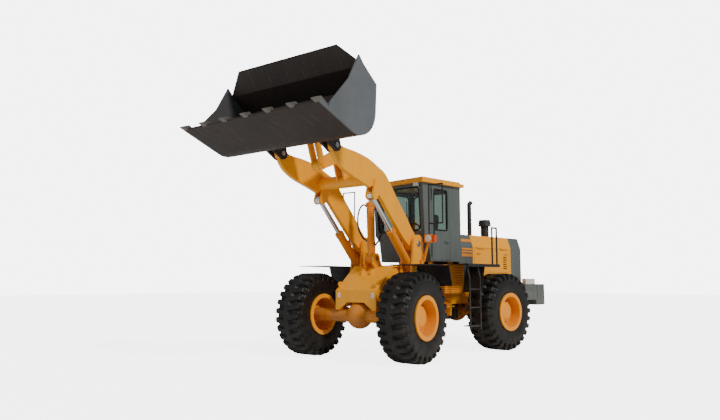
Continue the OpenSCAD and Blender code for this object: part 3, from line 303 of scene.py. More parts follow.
def clear(name, colour, rough, transmission, ior=1.45):
    """Glass or a moulded lens: tinted, with faint smears in its roughness."""
    material, tree, shader, wear = blank_material(name)
    tint = mix_colour(tree, scaled(tree, wear.outputs["Mottle"], 0.3), (*colour, 1), (*[c * 0.85 for c in colour], 1))
    tree.links.new(tint, shader.inputs["Base Color"])
    smear = new_node(tree, "ShaderNodeMapRange", {
        "Value": wear.outputs["Streaks"], "To Min": rough, "To Max": rough + 0.06})
    tree.links.new(smear.outputs[0], shader.inputs["Roughness"])
    shader.inputs["Transmission Weight"].default_value = transmission
    shader.inputs["IOR"].default_value = ior
    return material


rod_chrome = metal("rod_chrome", (0.78, 0.79, 0.80), 0.14, 220.0, dusty=0.05)
pin_steel = metal("pin_steel", (0.42, 0.41, 0.40), 0.42, 160.0, dusty=0.3)
tooth_iron = metal("tooth_iron", (0.20, 0.19, 0.18), 0.55, 70.0, metallic=0.8)
engine_iron = metal("engine_iron", (0.07, 0.07, 0.072), 0.65, 50.0, metallic=0.5)
stack_black = metal("stack_black", (0.035, 0.032, 0.030), 0.6, 60.0, metallic=0.3)
cab_glass = clear("cab_glass", (0.66, 0.82, 0.74), 0.02, 1.0)
lamp_lens = clear("lamp_lens", (0.92, 0.92, 0.86), 0.08, 0.35)
indicator_red = clear("indicator_red", (0.85, 0.10, 0.02), 0.12, 0.25)
seat_vinyl = paint(
    "seat_vinyl", (0.018, 0.019, 0.021), (0.03, 0.03, 0.032), rough=0.55, dusty=0.0, peel=0.3, coat=0.0)
rubber = paint(
    "rubber", (0.010, 0.010, 0.011), (0.016, 0.016, 0.016), rough=0.7, dusty=0.2, peel=0.2, coat=0.0)
print("metals and clear finishes are ready")

# %% [markdown]
# A tyre is black rubber, but a working one is grey on the tread where it meets the ground, and its side wall
# carries fine moulded rings. Both follow the distance from the wheel's axis, so each wheel gets a material
# whose first Vector Math node subtracts that wheel's centre from the position.

# %% Tyre rubber
RING_PITCH = 0.011
TREAD_START = 0.70


def from_axle(tree, joint):
    """The distance of a point from the axis of a wheel's joint, as a socket."""
    place = new_node(tree, "ShaderNodeTexCoord").outputs["Object"]
    centre = np.array(joint["pos_m"])
    axis = np.array(joint["axis"])
    moved = new_node(tree, "ShaderNodeVectorMath", {0: place, 1: tuple(centre)}, operation="SUBTRACT").outputs[0]
    crossed = new_node(tree, "ShaderNodeVectorMath", {0: moved, 1: tuple(axis)}, operation="CROSS_PRODUCT").outputs[0]
    return new_node(tree, "ShaderNodeVectorMath", {0: crossed}, operation="LENGTH").outputs["Value"]


def tyre_rubber(name, joint):
    """Rubber: dark, dusty towards the tread, with rings at a fixed pitch on the side wall as a bump."""
    material, tree, shader, wear = blank_material(name)
    radius = from_axle(tree, joint)
    tread = new_node(tree, "ShaderNodeMapRange", {
        "Value": radius, "From Min": TREAD_START, "From Max": TREAD_START + 0.1}).outputs[0]
    worn = new_node(tree, "ShaderNodeMath", {0: tread, 1: wear.outputs["Mottle"]}, operation="MULTIPLY").outputs[0]
    grey = mix_colour(tree, scaled(tree, worn, 0.35), (0.005, 0.005, 0.0055, 1), (0.020, 0.019, 0.017, 1))
    dusted = mix_colour(tree, scaled(tree, wear.outputs["Dust"], 0.07), grey, DUST_COLOUR)
    tree.links.new(dusted, shader.inputs["Base Color"])
    shader.inputs["Specular IOR Level"].default_value = GLOSS
    rough = new_node(tree, "ShaderNodeMapRange", {"Value": tread, "To Min": 0.45, "To Max": 0.6})
    tree.links.new(rough.outputs[0], shader.inputs["Roughness"])
    turns = scaled(tree, radius, 2 * math.pi / RING_PITCH)
    wave = new_node(tree, "ShaderNodeMath", {0: turns}, operation="SINE").outputs[0]
    rings = new_node(tree, "ShaderNodeMath", {0: wave, 1: tread}, operation="SUBTRACT").outputs[0]
    ring_bump = new_node(tree, "ShaderNodeBump", {"Height": rings, "Strength": 0.10, "Distance": 0.002})
    grain = new_node(tree, "ShaderNodeBump", {
        "Height": wear.outputs["Fine"], "Strength": 0.15, "Distance": 0.002, "Normal": ring_bump.outputs[0]})
    tree.links.new(grain.outputs[0], shader.inputs["Normal"])
    return material


WHEELS = ["front_left", "front_right", "rear_left", "rear_right"]
tyre_finish = {w: tyre_rubber("tyre_" + w + "_rubber", joints["wheel_" + w + "_spin"]) for w in WHEELS}
print("tyre finishes:", len(tyre_finish))

# %% [markdown]
# The bucket is black inside and brown-black outside, where it scrapes along the ground, while its two end
# plates show as blue-grey steel. The end plates are told apart by their distance from the middle plane.

# %% Bucket steel
END_PLATE = 1.445
PLATE_EDGE = 0.012


def bucket_steel(name):
    """Worn plate: black and brown by mottling, scratched lengthwise, blue-grey on the end plates."""
    material, tree, shader, wear = blank_material(name)
    place = new_node(tree, "ShaderNodeTexCoord").outputs["Object"]
    moved = new_node(tree, "ShaderNodeVectorMath", {0: place, 1: tuple(hinge)}, operation="SUBTRACT").outputs[0]
    aside = new_node(tree, "ShaderNodeVectorMath", {0: moved, 1: tuple(side_front)}, operation="DOT_PRODUCT")
    away = new_node(tree, "ShaderNodeMath", {0: aside.outputs["Value"]}, operation="ABSOLUTE").outputs[0]
    plate = new_node(tree, "ShaderNodeMapRange", {
        "Value": away, "From Min": END_PLATE, "From Max": END_PLATE + PLATE_EDGE})
    turn = -math.atan2(fore_front[1], fore_front[0])
    along = new_node(tree, "ShaderNodeMapping", {
        "Vector": place, "Rotation": (0.0, 0.0, turn), "Scale": (3.0, 60.0, 3.0)})
    scratch = new_node(tree, "ShaderNodeTexNoise", {"Vector": along.outputs[0], "Scale": 1.0, "Detail": 5.0})
    scratch_mask = new_node(tree, "ShaderNodeMapRange", {
        "Value": scratch.outputs["Fac"], "From Min": 0.56, "From Max": 0.75})
    dark = mix_colour(tree, wear.outputs["Mottle"], (0.010, 0.010, 0.011, 1), (0.042, 0.026, 0.018, 1))
    scraped = mix_colour(tree, scaled(tree, scratch_mask.outputs[0], 0.35), dark, (0.10, 0.085, 0.07, 1))
    plated = mix_colour(tree, wear.outputs["Mottle"], (0.17, 0.19, 0.21, 1), (0.08, 0.088, 0.095, 1))
    tree.links.new(mix_colour(tree, plate.outputs[0], scraped, plated), shader.inputs["Base Color"])
    shader.inputs["Metallic"].default_value = 0.25
    rough = new_node(tree, "ShaderNodeMapRange", {"Value": scratch_mask.outputs[0], "To Min": 0.6, "To Max": 0.4})
    tree.links.new(rough.outputs[0], shader.inputs["Roughness"])
    bump = new_node(tree, "ShaderNodeBump", {"Height": scratch.outputs["Fac"], "Strength": 0.2, "Distance": 0.003})
    tree.links.new(bump.outputs[0], shader.inputs["Normal"])
    return material


bucket_grey = bucket_steel("bucket_grey")
print("bucket finish ready")

# %% [markdown]
# The walkways are chequer plate, and the side tank sits under a perforated heat shield. Both are regular grids
# of small spots, which a Voronoi texture without randomness gives: near each grid point the distance is small.
# The holes of the shield are darkened with painted shade.

# %% Patterned plates
def spotted(name, main, dark, pitch, spot, sunk, plane_turn):
    """Paint with a regular grid of spots: the distance to the nearest grid point makes a bump, or sunk holes darkened
    with painted shade.
    """
    material = paint(name, main, dark, rough=0.45, coat=0.0)
    tree = material.node_tree
    shader = tree.nodes["Principled BSDF"]
    place = new_node(tree, "ShaderNodeTexCoord").outputs["Object"]
    laid = new_node(tree, "ShaderNodeMapping", {"Vector": place, "Rotation": plane_turn})
    grid = new_node(tree, "ShaderNodeTexVoronoi", {
        "Vector": laid.outputs[0], "Scale": 1.0 / pitch, "Randomness": 0.0}, voronoi_dimensions="2D")
    mask = new_node(tree, "ShaderNodeMapRange", {
        "Value": grid.outputs["Distance"], "From Min": spot, "From Max": spot + 0.08, "To Min": 1.0, "To Max": 0.0})
    bump = new_node(tree, "ShaderNodeBump", {
        "Height": mask.outputs[0], "Strength": 0.6, "Distance": 0.004}, invert=sunk)
    tree.links.new(bump.outputs[0], shader.inputs["Normal"])
    if sunk:
        # Each sunk hole is painted dark brown: painted shade for the dim inside of the hole.
        painted = shader.inputs["Base Color"].links[0].from_socket
        paint_with_shaded_holes = mix_colour(tree, mask.outputs[0], painted, (0.02, 0.012, 0.008, 1))
        tree.links.new(paint_with_shaded_holes, shader.inputs["Base Color"])
    return material


chequer_plate = spotted("chequer_plate", BLACK, BLACK_DARK, 0.05, 0.28, False, (0.0, 0.0, math.radians(45)))
heat_shield = spotted("heat_shield", ORANGE, ORANGE_DARK, 0.035, 0.26, True, (math.radians(-90), 0.0, 0.0))
print("patterned plates ready")

# %% [markdown]
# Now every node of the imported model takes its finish. A table from finish to nodes reads like the paint shop's
# list, and whatever it leaves out would keep the importer's plain colour, so the cell checks that none is left.

# %% Finish of every CAD node
FINISHES = {
    body_yellow: ["rear_frame", "front_frame", "hood_main", "hood_door_left", "hood_door_right", "boom",
                  "bellcrank", "link", "cab_roof"],
    shade_orange: ["lamp_arms", "lift_barrels", "tilt_barrel", "steer_barrel_left", "steer_barrel_right"],
    wheel_orange: ["rim_" + w for w in WHEELS],
    trim_grey: ["counterweight", "hood_front", "hood_rear", "cab_base", "door"],
    black_paint: ["grille", "ladders", "handrails", "fenders", "lamp_rails", "steering_column"],
    chequer_plate: ["platforms"],
    heat_shield: ["side_tanks"],
    stack_black: ["exhaust", "precleaner"],
    pin_steel: ["rear_shaft", "front_shaft", "bucket_pins", "bellcrank_pin", "tilt_pin"],
    rod_chrome: ["lift_rods", "tilt_rod", "steer_rod_left", "steer_rod_right"],
    bucket_grey: ["bucket"],
    tooth_iron: ["bucket_teeth"],
    cab_glass: ["cab_glass", "door_glass"],
    lamp_lens: ["lamps", "headlamps"],
    indicator_red: ["indicators"],
    seat_vinyl: ["seat"],
    engine_iron: ["engine_block"],
    axle_paint: ["rear_axle", "front_axle"],
}
FINISHES.update({tyre_finish[w]: ["tyre_" + w] for w in WHEELS})
for material, names in FINISHES.items():
    for name in names:
        nodes[name].data.materials.clear()
        nodes[name].data.materials.append(material)
unpainted = set(nodes) - {name for names in FINISHES.values() for name in names}
print("nodes without a finish:", sorted(unpainted))

# %% [markdown]
# Three kinds of surface cover nearly all the small pieces. A tube carries a circle along a smooth path, a turned
# piece carries a profile round an axis, and a pad is a superellipsoid, which is a box with crowned, rounded sides.

# %% Tube, turned piece and pad
def smooth_path(points, steps=8):
    """A Catmull-Rom curve through the points: each span is a cubic blend of its four nearest points."""
    p = np.asarray(points, float)
    p = np.vstack([2 * p[0] - p[1], p, 2 * p[-1] - p[-2]])
    t = np.linspace(0, 1, steps, endpoint=False)[:, None]
    a, b, c, d = (p[i:len(p) - 3 + i][:, None, :] for i in range(4))
    spans = 0.5 * (2 * b + (c - a) * t + (2 * a - 5 * b + 4 * c - d) * t**2 + (3 * b - a - 3 * c + d) * t**3)
    return np.vstack([spans.reshape(-1, 3), p[-2]])


def unit(vectors):
    """Vectors scaled to length one."""
    v = np.asarray(vectors, float)
    return v / np.linalg.norm(v, axis=-1, keepdims=True)


def tube(name, path, radius, body, material, sides=12, across=UP, closed=False):
    """A circle of the given radius carried along a path, square to it at every point."""
    path = np.asarray(path, float)
    step = np.roll(path, -1, 0) - np.roll(path, 1, 0) if closed else np.gradient(path, axis=0)
    along = unit(step)
    first = unit(np.cross(along, np.broadcast_to(across, along.shape)) + 1e-9)
    second = np.cross(along, first)
    turn = np.linspace(0, 2 * math.pi, sides, endpoint=False)
    ring = np.cos(turn)[:, None] * first[:, None, :] + np.sin(turn)[:, None] * second[:, None, :]
    points = path[:, None, :] + radius * ring
    count = len(path)
    ends = [] if closed else [range(sides), range(count * sides - 1, (count - 1) * sides - 1, -1)]
    return outward(mesh_piece(name, points, grid_faces(count, sides, closed, True), body, material, ends=ends))


def square_to(axis):
    """Two unit vectors square to an axis and to each other."""
    axis = unit(axis)
    helper = UP if abs(axis[2]) < 0.9 else fore_rear
    first = unit(np.cross(axis, helper))
    return first, np.cross(axis, first)


def turned_points(profile, axis, sides):
    """A profile of (height, radius) pairs carried round an axis: height along it, radius across it."""
    profile = np.asarray(profile, float)
    first, second = square_to(axis)
    turn = np.linspace(0, 2 * math.pi, sides, endpoint=False)
    ring = np.cos(turn)[:, None] * first + np.sin(turn)[:, None] * second
    points = profile[:, :1, None] * unit(axis) + profile[:, 1:, None] * ring[None]
    ends = [range(sides), range(len(profile) * sides - 1, (len(profile) - 1) * sides - 1, -1)]
    return points.reshape(-1, 3), [*grid_faces(len(profile), sides, False, True).tolist(), *map(list, ends)]


def repeated(name, shape, centres, body, material, smooth=False):
    """One mesh with a copy of a shape at every centre: points and face numbers are shifted copy by copy."""
    points, faces = shape
    centres = np.asarray(centres, float)
    every = centres[:, None, :] + points[None]
    shifted = [[i + k * len(points) for i in face] for k in range(len(centres)) for face in faces]
    return outward(mesh_piece(name, every, shifted, body, material, smooth=smooth))


def pad_points(half, round_plan=0.35, round_side=0.45, rows=24, columns=48, channels=0, depth=0.0):
    """A superellipsoid: signed powers of sine and cosine give a crowned box; ribs run across its top."""
    v = np.linspace(-math.pi / 2, math.pi / 2, rows)[:, None]
    u = np.linspace(0, 2 * math.pi, columns, endpoint=False)[None]
    power = lambda w, e: np.sign(w) * np.abs(w) ** e
    x = half[0] * power(np.cos(v), round_side) * power(np.cos(u), round_plan)
    y = half[1] * power(np.cos(v), round_side) * power(np.sin(u), round_plan)
    z = half[2] * power(np.sin(v), round_side) * np.ones_like(u)
    z = z - depth * np.cos(channels * math.pi * x / half[0]) ** 8 * (z > 0) if channels else z
    return np.stack([x, y, z], -1)


def pad_piece(name, points, body, material):
    """A closed pad from its grid of points: quads between the rows and a face over each pole."""
    rows, columns = points.shape[:2]
    ends = [range(columns), range(rows * columns - 1, (rows - 1) * columns - 1, -1)]
    return outward(mesh_piece(name, points, grid_faces(rows, columns, False, True), body, material, ends=ends))


print("a turned piece of 3 rings and 6 sides has", len(turned_points([(0, 1), (1, 1), (1, 0.5)], UP, 6)[1]), "faces")

# %% [markdown]
# A loader tyre is moulded in one go: side walls that bulge, and a crown with deep bars that alternate from side to
# side, so that one bar always rests on the ground. The surface is the tyre's own section carried round the axle.
# Between two bars the section sinks along its own normal, which also cuts the notches in the shoulders.

# %% Tyres with their bars
TYRE_SHARES = [(0.0, 0.86), (0.12, 0.90), (0.28, 0.97), (0.46, 1.0), (0.64, 0.99), (0.80, 0.955), (0.93, 0.90),
               (0.985, 0.76), (1.0, 0.55), (1.0, 0.0)]
BARS = 28
BAR_DEPTH = 0.052
BAR_SHARE = 0.56
BAR_LEAN = 0.35
BAR_REACH = 0.16
BAR_FLANK = 0.10
REACH_FLANK = 0.06
SHOULDER_SHARES = (0.66, 0.80)
STEPS_A_BAR = 16
STEPS_A_SPAN = 4
SHARP_ANGLE = math.radians(38)


def ramp(value, low, high):
    """A smooth step: 0 below low, 1 above high and a cubic with level ends between."""
    t = np.clip((value - low) / (high - low), 0, 1)
    return t * t * (3 - 2 * t)


def tyre_section(bore, radius, half_width):
    """The closed section of a tyre as (radius, aside) pairs, from the left bead over the crown to the right one."""
    share = np.array(TYRE_SHARES)
    left = np.stack([bore + share[:, 0] * (radius - bore), share[:, 1] * half_width, share[:, 0]], -1)
    right = (left * [1, -1, 1])[-2::-1]
    fine = smooth_path(np.vstack([left, right]), STEPS_A_SPAN)
    fine[:, 0] = np.clip(fine[:, 0], bore, radius)
    fine[:, 1] = np.clip(fine[:, 1], -half_width, half_width)
    return fine


def tyre_points(joint, bore, radius, half_width):
    """A section carried round an axle: where no bar stands, it sinks along its normal by the bar's depth."""
    section = tyre_section(bore, radius, half_width)
    slope = unit(np.gradient(section[:, :2], axis=0) + 1e-9)
    inward = np.stack([slope[:, 1], -slope[:, 0]], -1)
    turn = np.linspace(0, 2 * math.pi, BARS * STEPS_A_BAR, endpoint=False)[:, None]
    aside = section[None, :, 1] / half_width
    stands = 0
    for sign, shift in ((1, 0.0), (-1, 0.5)):
        phase = (BARS * turn / (2 * math.pi) + shift + BAR_LEAN * np.abs(aside)) % 1.0
        bar = ramp(phase, 0.0, BAR_FLANK) * (1 - ramp(phase, BAR_SHARE, BAR_SHARE + BAR_FLANK))
        stands = np.maximum(stands, bar * ramp(sign * aside, -BAR_REACH - REACH_FLANK, -BAR_REACH))
    sink = BAR_DEPTH * (1 - stands) * ramp(section[None, :, 2], *SHOULDER_SHARES)
    away = section[None, :, 0] + sink * inward[None, :, 0]
    along = section[None, :, 1] + sink * inward[None, :, 1]
    first, second = square_to(joint["axis"])
    ring = np.cos(turn)[..., None] * first + np.sin(turn)[..., None] * second
    return np.array(joint["pos_m"]) + away[..., None] * ring + along[..., None] * np.array(joint["axis"])


for wheel in WHEELS:
    joint = joints["wheel_" + wheel + "_spin"]
    solid = np.array([v.co for v in nodes["tyre_" + wheel].data.vertices]) - joint["pos_m"]
    aside = solid @ np.array(joint["axis"])
    away = np.linalg.norm(np.cross(solid, joint["axis"]), axis=1)
    points = tyre_points(joint, away.min(), away.max(), aside.max())
    tyre = outward(mesh_piece("barred_tyre_" + wheel, points, grid_faces(*points.shape[:2], True, True),
                              "wheel_" + wheel, tyre_finish[wheel]))
    edges = tyre.modifiers.new("edges", "EDGE_SPLIT")
    edges.split_angle = SHARP_ANGLE
    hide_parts("tyre_" + wheel)
print("tyre of", points.shape[0], "by", points.shape[1], "points, radius", round(float(away.max()), 3), "m")

# %% [markdown]
# Each wheel is held by a ring of nuts on the dish of its rim, and the planetary hub cap has a smaller ring of
# bolts. A nut is a turned piece with six sides, and the ring is a circle round the axle.

# %% Wheel nuts and hub bolts
NUT_SIZE = 0.021
NUT_RING = 0.262
NUTS = 20
BOLT_SIZE = 0.011
BOLT_RING = 0.172
BOLTS = 12
RIM_DISC = 0.0531
CAP_SHOULDER = 0.1534


def ring_of(centre, axis, radius, count):
    """Points spaced evenly on a circle round an axis."""
    first, second = square_to(axis)
    turn = np.linspace(0, 2 * math.pi, count, endpoint=False)[:, None]
    return centre + radius * (np.cos(turn) * first + np.sin(turn) * second)


def nut(size, axis):
    """A six-sided nut with a chamfered top, standing on the origin along the axis."""
    return turned_points([(-0.002, size), (size * 0.9, size), (size * 1.1, size * 0.82)], axis, 6)


for wheel in WHEELS:
    joint = joints["wheel_" + wheel + "_spin"]
    out = np.array(joint["axis"]) * (1 if wheel.endswith("left") else -1)
    centre = np.array(joint["pos_m"])
    body = "wheel_" + wheel
    nuts = repeated("wheel_nuts_" + wheel, nut(NUT_SIZE, out),
                    ring_of(centre + RIM_DISC * out, out, NUT_RING, NUTS), body, pin_steel)
    bolts = repeated("hub_bolts_" + wheel, nut(BOLT_SIZE, out),
                     ring_of(centre + CAP_SHOULDER * out, out, BOLT_RING, BOLTS), body, wheel_orange)
print("nuts and bolts on", len(WHEELS), "wheels")

# %% [markdown]
# Every main pin of the linkage ends in a round cap with a keeper bolt. The caps sit on the outer faces of what
# holds the pin, so they ride with that body and not with what turns on it.

# %% Pin caps
CAP_RADIUS = 0.062
CAP_HEIGHT = 0.016
TOWER_FACE = 0.735


def cap(radius, height, axis):
    """A low round cap with a raised centre, standing on the origin along the axis."""
    profile = [(-0.002, radius), (height * 0.6, radius), (height, radius * 0.9), (height, radius * 0.35),
               (height * 1.5, radius * 0.3), (height * 1.5, radius * 0.02)]
    return turned_points(profile, axis, 24)


def front_point(name, aside):
    """A point on a front joint's axis, moved sideways from the middle plane."""
    return np.array(joints[name]["pos_m"]) + aside * side_front


for sign, side in ((1, "left"), (-1, "right")):
    places = [front_point("boom_lift", sign * TOWER_FACE), front_point("lift_swing", sign * TOWER_FACE)]
    caps = repeated("pin_caps_" + side, cap(CAP_RADIUS, CAP_HEIGHT, sign * side_front), places,
                    "front_half", pin_steel, smooth=False)
print("pin caps on both towers")

# %% [markdown]
# Two hydraulic hoses feed the tilt cylinder. Each leaves a port near the top of the barrel, bows outward and
# comes back to a port low on the barrel. The hose is free between its two fittings, and a circle is carried
# along a smooth curve through its points.

# %% Tilt cylinder hoses
HOSE_RADIUS = 0.017
TILT_PORT_OUT = 0.074
HOSE_ROUTES = {
    "tilt_hose_right": (-1, [(0.0, 1.02), (0.10, 1.05), (0.19, 0.96), (0.235, 0.78), (0.215, 0.58), (0.13, 0.42),
                             (0.05, 0.36), (0.0, 0.34)]),
    "tilt_hose_left": (1, [(0.0, 0.93), (0.08, 0.95), (0.15, 0.86), (0.185, 0.70), (0.175, 0.52), (0.11, 0.36),
                           (0.04, 0.28), (0.0, 0.26)]),
}
tilt_foot = np.array(joints["tilt_swing"]["pos_m"])
tilt_along = np.array(joints["tilt_stroke"]["axis"])
for name, (sign, route) in HOSE_ROUTES.items():
    out = np.array(route)
    knots = (tilt_foot + (TILT_PORT_OUT + out[:, :1]) * sign * side_front + out[:, 1:] * tilt_along)
    path = smooth_path(knots)
    hose = tube(name, path, HOSE_RADIUS, "tilt_barrel", rubber, sides=14, across=fore_front)
    fittings = repeated(name + "_fittings", turned_points(
        [(-0.012, 0.027), (0.02, 0.027), (0.022, 0.021), (0.045, 0.021)], sign * side_front, 6),
        [knots[0] - 0.004 * sign * side_front, knots[-1] - 0.004 * sign * side_front], "tilt_barrel", pin_steel)

# %% [markdown]
# The windows are held by black rubber strips. A strip is a thin tube that closes on itself round the edge of the
# pane; its corners are rounded by running the path round a superellipse instead of a rectangle.

# %% Window strips
STRIP_RADIUS = 0.016
STRIP_OUT = 0.018
STRIP_INSET = 0.004
SCREEN_LEAN = unit(np.array([0.055, 0.0, 1.025]))


def frame_path(centre, across, up, half_across, half_up, count=96, power=0.18):
    """A rounded rectangle: signed powers of cosine and sine along two directions round a centre."""
    turn = np.linspace(0, 2 * math.pi, count, endpoint=False)[:, None]
    bend = lambda w: np.sign(w) * np.abs(w) ** power
    return centre + half_across * bend(np.cos(turn)) * across + half_up * bend(np.sin(turn)) * up


glass_points = np.array([v.co for v in nodes["cab_glass"].data.vertices]) - hinge
door_points = np.array([v.co for v in nodes["door_glass"].data.vertices]) - hinge
panes = {
    "screen": glass_points[glass_points[:, 0] > 0.05],
    "rear_window": glass_points[glass_points[:, 0] < -0.86],
    "side_window": glass_points[(glass_points[:, 1] < -0.64) & (np.abs(glass_points[:, 0] + 0.435) < 0.5)],
    "door_window": door_points,
}
OUTSIDE = {"screen": fore_rear, "rear_window": -fore_rear, "side_window": -side_rear, "door_window": side_rear}
for name, points in panes.items():
    low, high = points.min(0), points.max(0)
    out = OUTSIDE[name]
    up = SCREEN_LEAN if name == "screen" else UP
    across = np.cross(up, out)
    half_across = np.abs(((high - low) / 2) @ np.abs(across))
    centre = (low + high) / 2 + out * STRIP_OUT
    path = frame_path(centre, across, up, half_across - STRIP_INSET, (high[2] - low[2]) / 2 - STRIP_INSET)
    seal = tube(name + "_strip", at_rear(path), STRIP_RADIUS, "door" if name == "door_window" else "rear_half",
                rubber, sides=8, across=out, closed=True)
print("strips round", list(panes))

# %% [markdown]
# The wiper parks on the left side of the windscreen: an arm from its spindle in the lower frame and a long thin
# blade against the glass. Both are tubes; the blade is carried along a straight path.

# %% Wiper
ARM_RADIUS = 0.008
BLADE_RADIUS = 0.007

screen_low = panes["screen"].min(0)
lean = SCREEN_LEAN
foot = np.array([screen_low[0] + 0.045, 0.12, screen_low[2] - 0.02])
arm_path = smooth_path([foot, foot + 0.02 * fore_rear + 0.06 * lean, foot + [0.02, 0.16, 0] + 0.36 * lean], 6)
blade_path = foot + [0.015, 0.16, 0] + np.linspace(0.12, 0.62, 12)[:, None] * lean
wiper_arm = tube("wiper_arm", at_rear(arm_path), ARM_RADIUS, "rear_half", black_paint, sides=8, across=side_rear)
wiper_blade = tube("wiper_blade", at_rear(blade_path), BLADE_RADIUS, "rear_half", rubber, sides=8, across=side_rear)
print("wiper on the windscreen")

# %% [markdown]
# Two pale reflectors sit in the upper corners of the nose. Each is a thin moulded pad, half sunk into the plate that
# carries it.

# %% Nose reflectors
NOSE_FACE = 1.770
REFLECTOR_ASIDE = 0.385
REFLECTOR_HEIGHT = 1.165
REFLECTOR_HALF = (0.034, 0.052, 0.010)

for sign, side in ((1, "left"), (-1, "right")):
    pad = pad_points(REFLECTOR_HALF, rows=12, columns=32)
    centre = [NOSE_FACE, sign * REFLECTOR_ASIDE, REFLECTOR_HEIGHT]
    standing = np.stack([pad[..., 2], pad[..., 0], pad[..., 1]], -1)
    reflector = pad_piece("nose_reflector_" + side, at_front(standing + centre), "front_half", lamp_lens)
print("reflectors", round(2 * REFLECTOR_ASIDE, 2), "m apart")

# %% [markdown]
# The grey front section of the hood carries plain orange bands on both sides. Each band is a thin raised plate:
# a flat grid of points with a Solidify modifier for its thickness.

# %% Hood bands
BANDS = [(2.305, 0.030), (2.12, 0.018), (2.06, 0.018), (1.985, 0.030)]
BAND_X = (-1.465, -1.10)
BAND_OUT = 0.0035
BAND_THICK = 0.003
hood_side = 0.60
hood_crease = 2.18
hood_top = (0.516, 2.43)


def hood_skin(z):
    """Half width of the hood at a height: straight up to the crease, then leaning inwards."""
    share = np.clip((z - hood_crease) / (hood_top[1] - hood_crease), 0, 1)
    return hood_side + share * (hood_top[0] - hood_side)


for sign, side in ((1, "left"), (-1, "right")):
    x = np.linspace(*BAND_X, 8)[None, :]
    points, faces = [], []
    for z0, tall in BANDS:
        z = (z0 + np.linspace(-tall, tall, 4))[:, None]
        y = sign * (hood_skin(z) + BAND_OUT)
        grid = np.stack(np.broadcast_arrays(x, y, z), -1).reshape(-1, 3)
        faces += (grid_faces(4, 8, False, False) + sum(map(len, points))).tolist()
        points.append(grid)
    bands = mesh_piece(
        "hood_bands_" + side, at_rear(np.vstack(points)), faces, "rear_half", shade_orange, smooth=False)
    thick = bands.modifiers.new("thickness", "SOLIDIFY")
    thick.thickness = BAND_THICK
    thick.offset = 0
print("bands on both sides of the hood")

# %% [markdown]
# The driver's seat shows through the door and the windows. A moulded cushion and a backrest replace the plain
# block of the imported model; both are crowned pads with sewn channels, on a folded pedestal.

# %% Seat
SEAT_PLACE = np.array([-0.56, 0.0, 2.306])
BACK_FOOT = np.array([-0.735, 0.0, 2.36])
BACK_RISE = np.array([-0.035, 0.0, 0.255])
BACK_LEAN = math.radians(8.5)
CUSHION_HALF = (0.225, 0.235, 0.056)
BACK_HALF = (0.255, 0.215, 0.046)
PEDESTAL_FOOT = [-0.56, 0.0, 1.881]

cushion_points = at_rear(pad_points(CUSHION_HALF, channels=3, depth=0.008) + SEAT_PLACE)
cushion = pad_piece("seat_cushion", cushion_points, "rear_half", seat_vinyl)
back = pad_points(BACK_HALF, channels=4, depth=0.007)
turn = math.pi / 2 - BACK_LEAN
upright = np.stack([back[..., 2] * math.sin(turn) - back[..., 0] * math.cos(turn), back[..., 1],
                    back[..., 0] * math.sin(turn) + back[..., 2] * math.cos(turn)], -1)
backrest = pad_piece("seat_backrest", at_rear(upright + BACK_FOOT + BACK_RISE), "rear_half", seat_vinyl)
pedestal_profile = [(0.0, 0.15), (0.02, 0.15), (0.05, 0.09), (0.30, 0.085), (0.345, 0.16), (0.375, 0.17)]
pedestal = repeated("seat_pedestal", turned_points(pedestal_profile, UP, 32), [at_rear(PEDESTAL_FOOT)],
                    "rear_half", black_paint)
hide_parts("seat")
print("seat cushion is", round(float(np.ptp(cushion_points[..., 1])), 3), "m wide")

# %% [markdown]
# A studio for a large machine is a pale floor, a pale sky and two soft lights. The key is a sun with a wide disc,
# high on the machine's left, so that the left sides shine, the front faces stay deeper in tone and the floor is
# lit evenly as far as it goes. The camera sees sky and floor brighter than they shine on the machine.

# %% Floor and light
FLOOR_HALF = 60.0
FLOOR_GLOW = 4.2
SKY = (0.95, 0.97, 1.0, 1)
SKY_SEEN = 6.0
SKY_FELT = 0.36

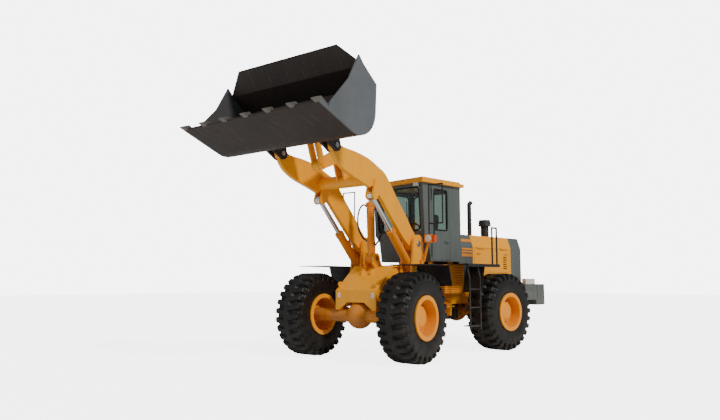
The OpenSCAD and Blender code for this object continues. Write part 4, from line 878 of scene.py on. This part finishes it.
corner = np.array([[-1, -1, 0], [1, -1, 0], [1, 1, 0], [-1, 1, 0]]) * FLOOR_HALF
floor_mesh = bpy.data.meshes.new("floor")
floor_mesh.from_pydata(corner.tolist(), [], [(0, 1, 2, 3)])
floor = bpy.data.objects.new("floor", floor_mesh)
bpy.context.scene.collection.objects.link(floor)
floor_finish = bpy.data.materials.new("pale_floor")
floor_finish.use_nodes = True
floor_tree = floor_finish.node_tree
floor_shader = floor_tree.nodes["Principled BSDF"]
floor_shader.inputs["Base Color"].default_value = (0.93, 0.93, 0.93, 1)
floor_shader.inputs["Roughness"].default_value = 0.9
floor_shader.inputs["Emission Color"].default_value = (1.0, 1.0, 1.0, 1)
floor_ray = new_node(floor_tree, "ShaderNodeLightPath").outputs["Is Camera Ray"]
floor_tree.links.new(scaled(floor_tree, floor_ray, FLOOR_GLOW), floor_shader.inputs["Emission Strength"])
floor_mesh.materials.append(floor_finish)

world = bpy.data.worlds.new("pale_sky")
world.use_nodes = True
sky = world.node_tree
seen = new_node(sky, "ShaderNodeBackground", {"Color": (1.0, 1.0, 1.0, 1), "Strength": SKY_SEEN})
felt = new_node(sky, "ShaderNodeBackground", {"Color": SKY, "Strength": SKY_FELT})
ray = new_node(sky, "ShaderNodeLightPath").outputs["Is Camera Ray"]
both = new_node(sky, "ShaderNodeMixShader", {0: ray, 1: felt.outputs[0], 2: seen.outputs[0]})
sky.links.new(both.outputs[0], sky.nodes["World Output"].inputs["Surface"])
bpy.context.scene.world = world


def aimed(name, kind, place_m, strength, colour):
    """A lamp of a kind at a place, turned towards the middle of the machine."""
    data = bpy.data.lights.new(name, kind)
    data.energy = strength
    data.color = colour
    lamp = bpy.data.objects.new(name, data)
    bpy.context.scene.collection.objects.link(lamp)
    lamp.location = place_m
    lamp.rotation_mode = "QUATERNION"
    lamp.rotation_quaternion = (Vector((1.0, 0.5, 1.8)) - Vector(place_m)).to_track_quat("-Z", "Y")
    return data


aimed("key", "SUN", (1.5, 15.0, 13.0), 2.7, (1.0, 0.95, 0.87)).angle = math.radians(9.0)
fill = aimed("fill", "AREA", (15.0, -3.0, 7.0), 260.0, (0.95, 0.97, 1.0))
fill.shape = "DISK"
fill.size = 10.0
print("a sun and a fill light")
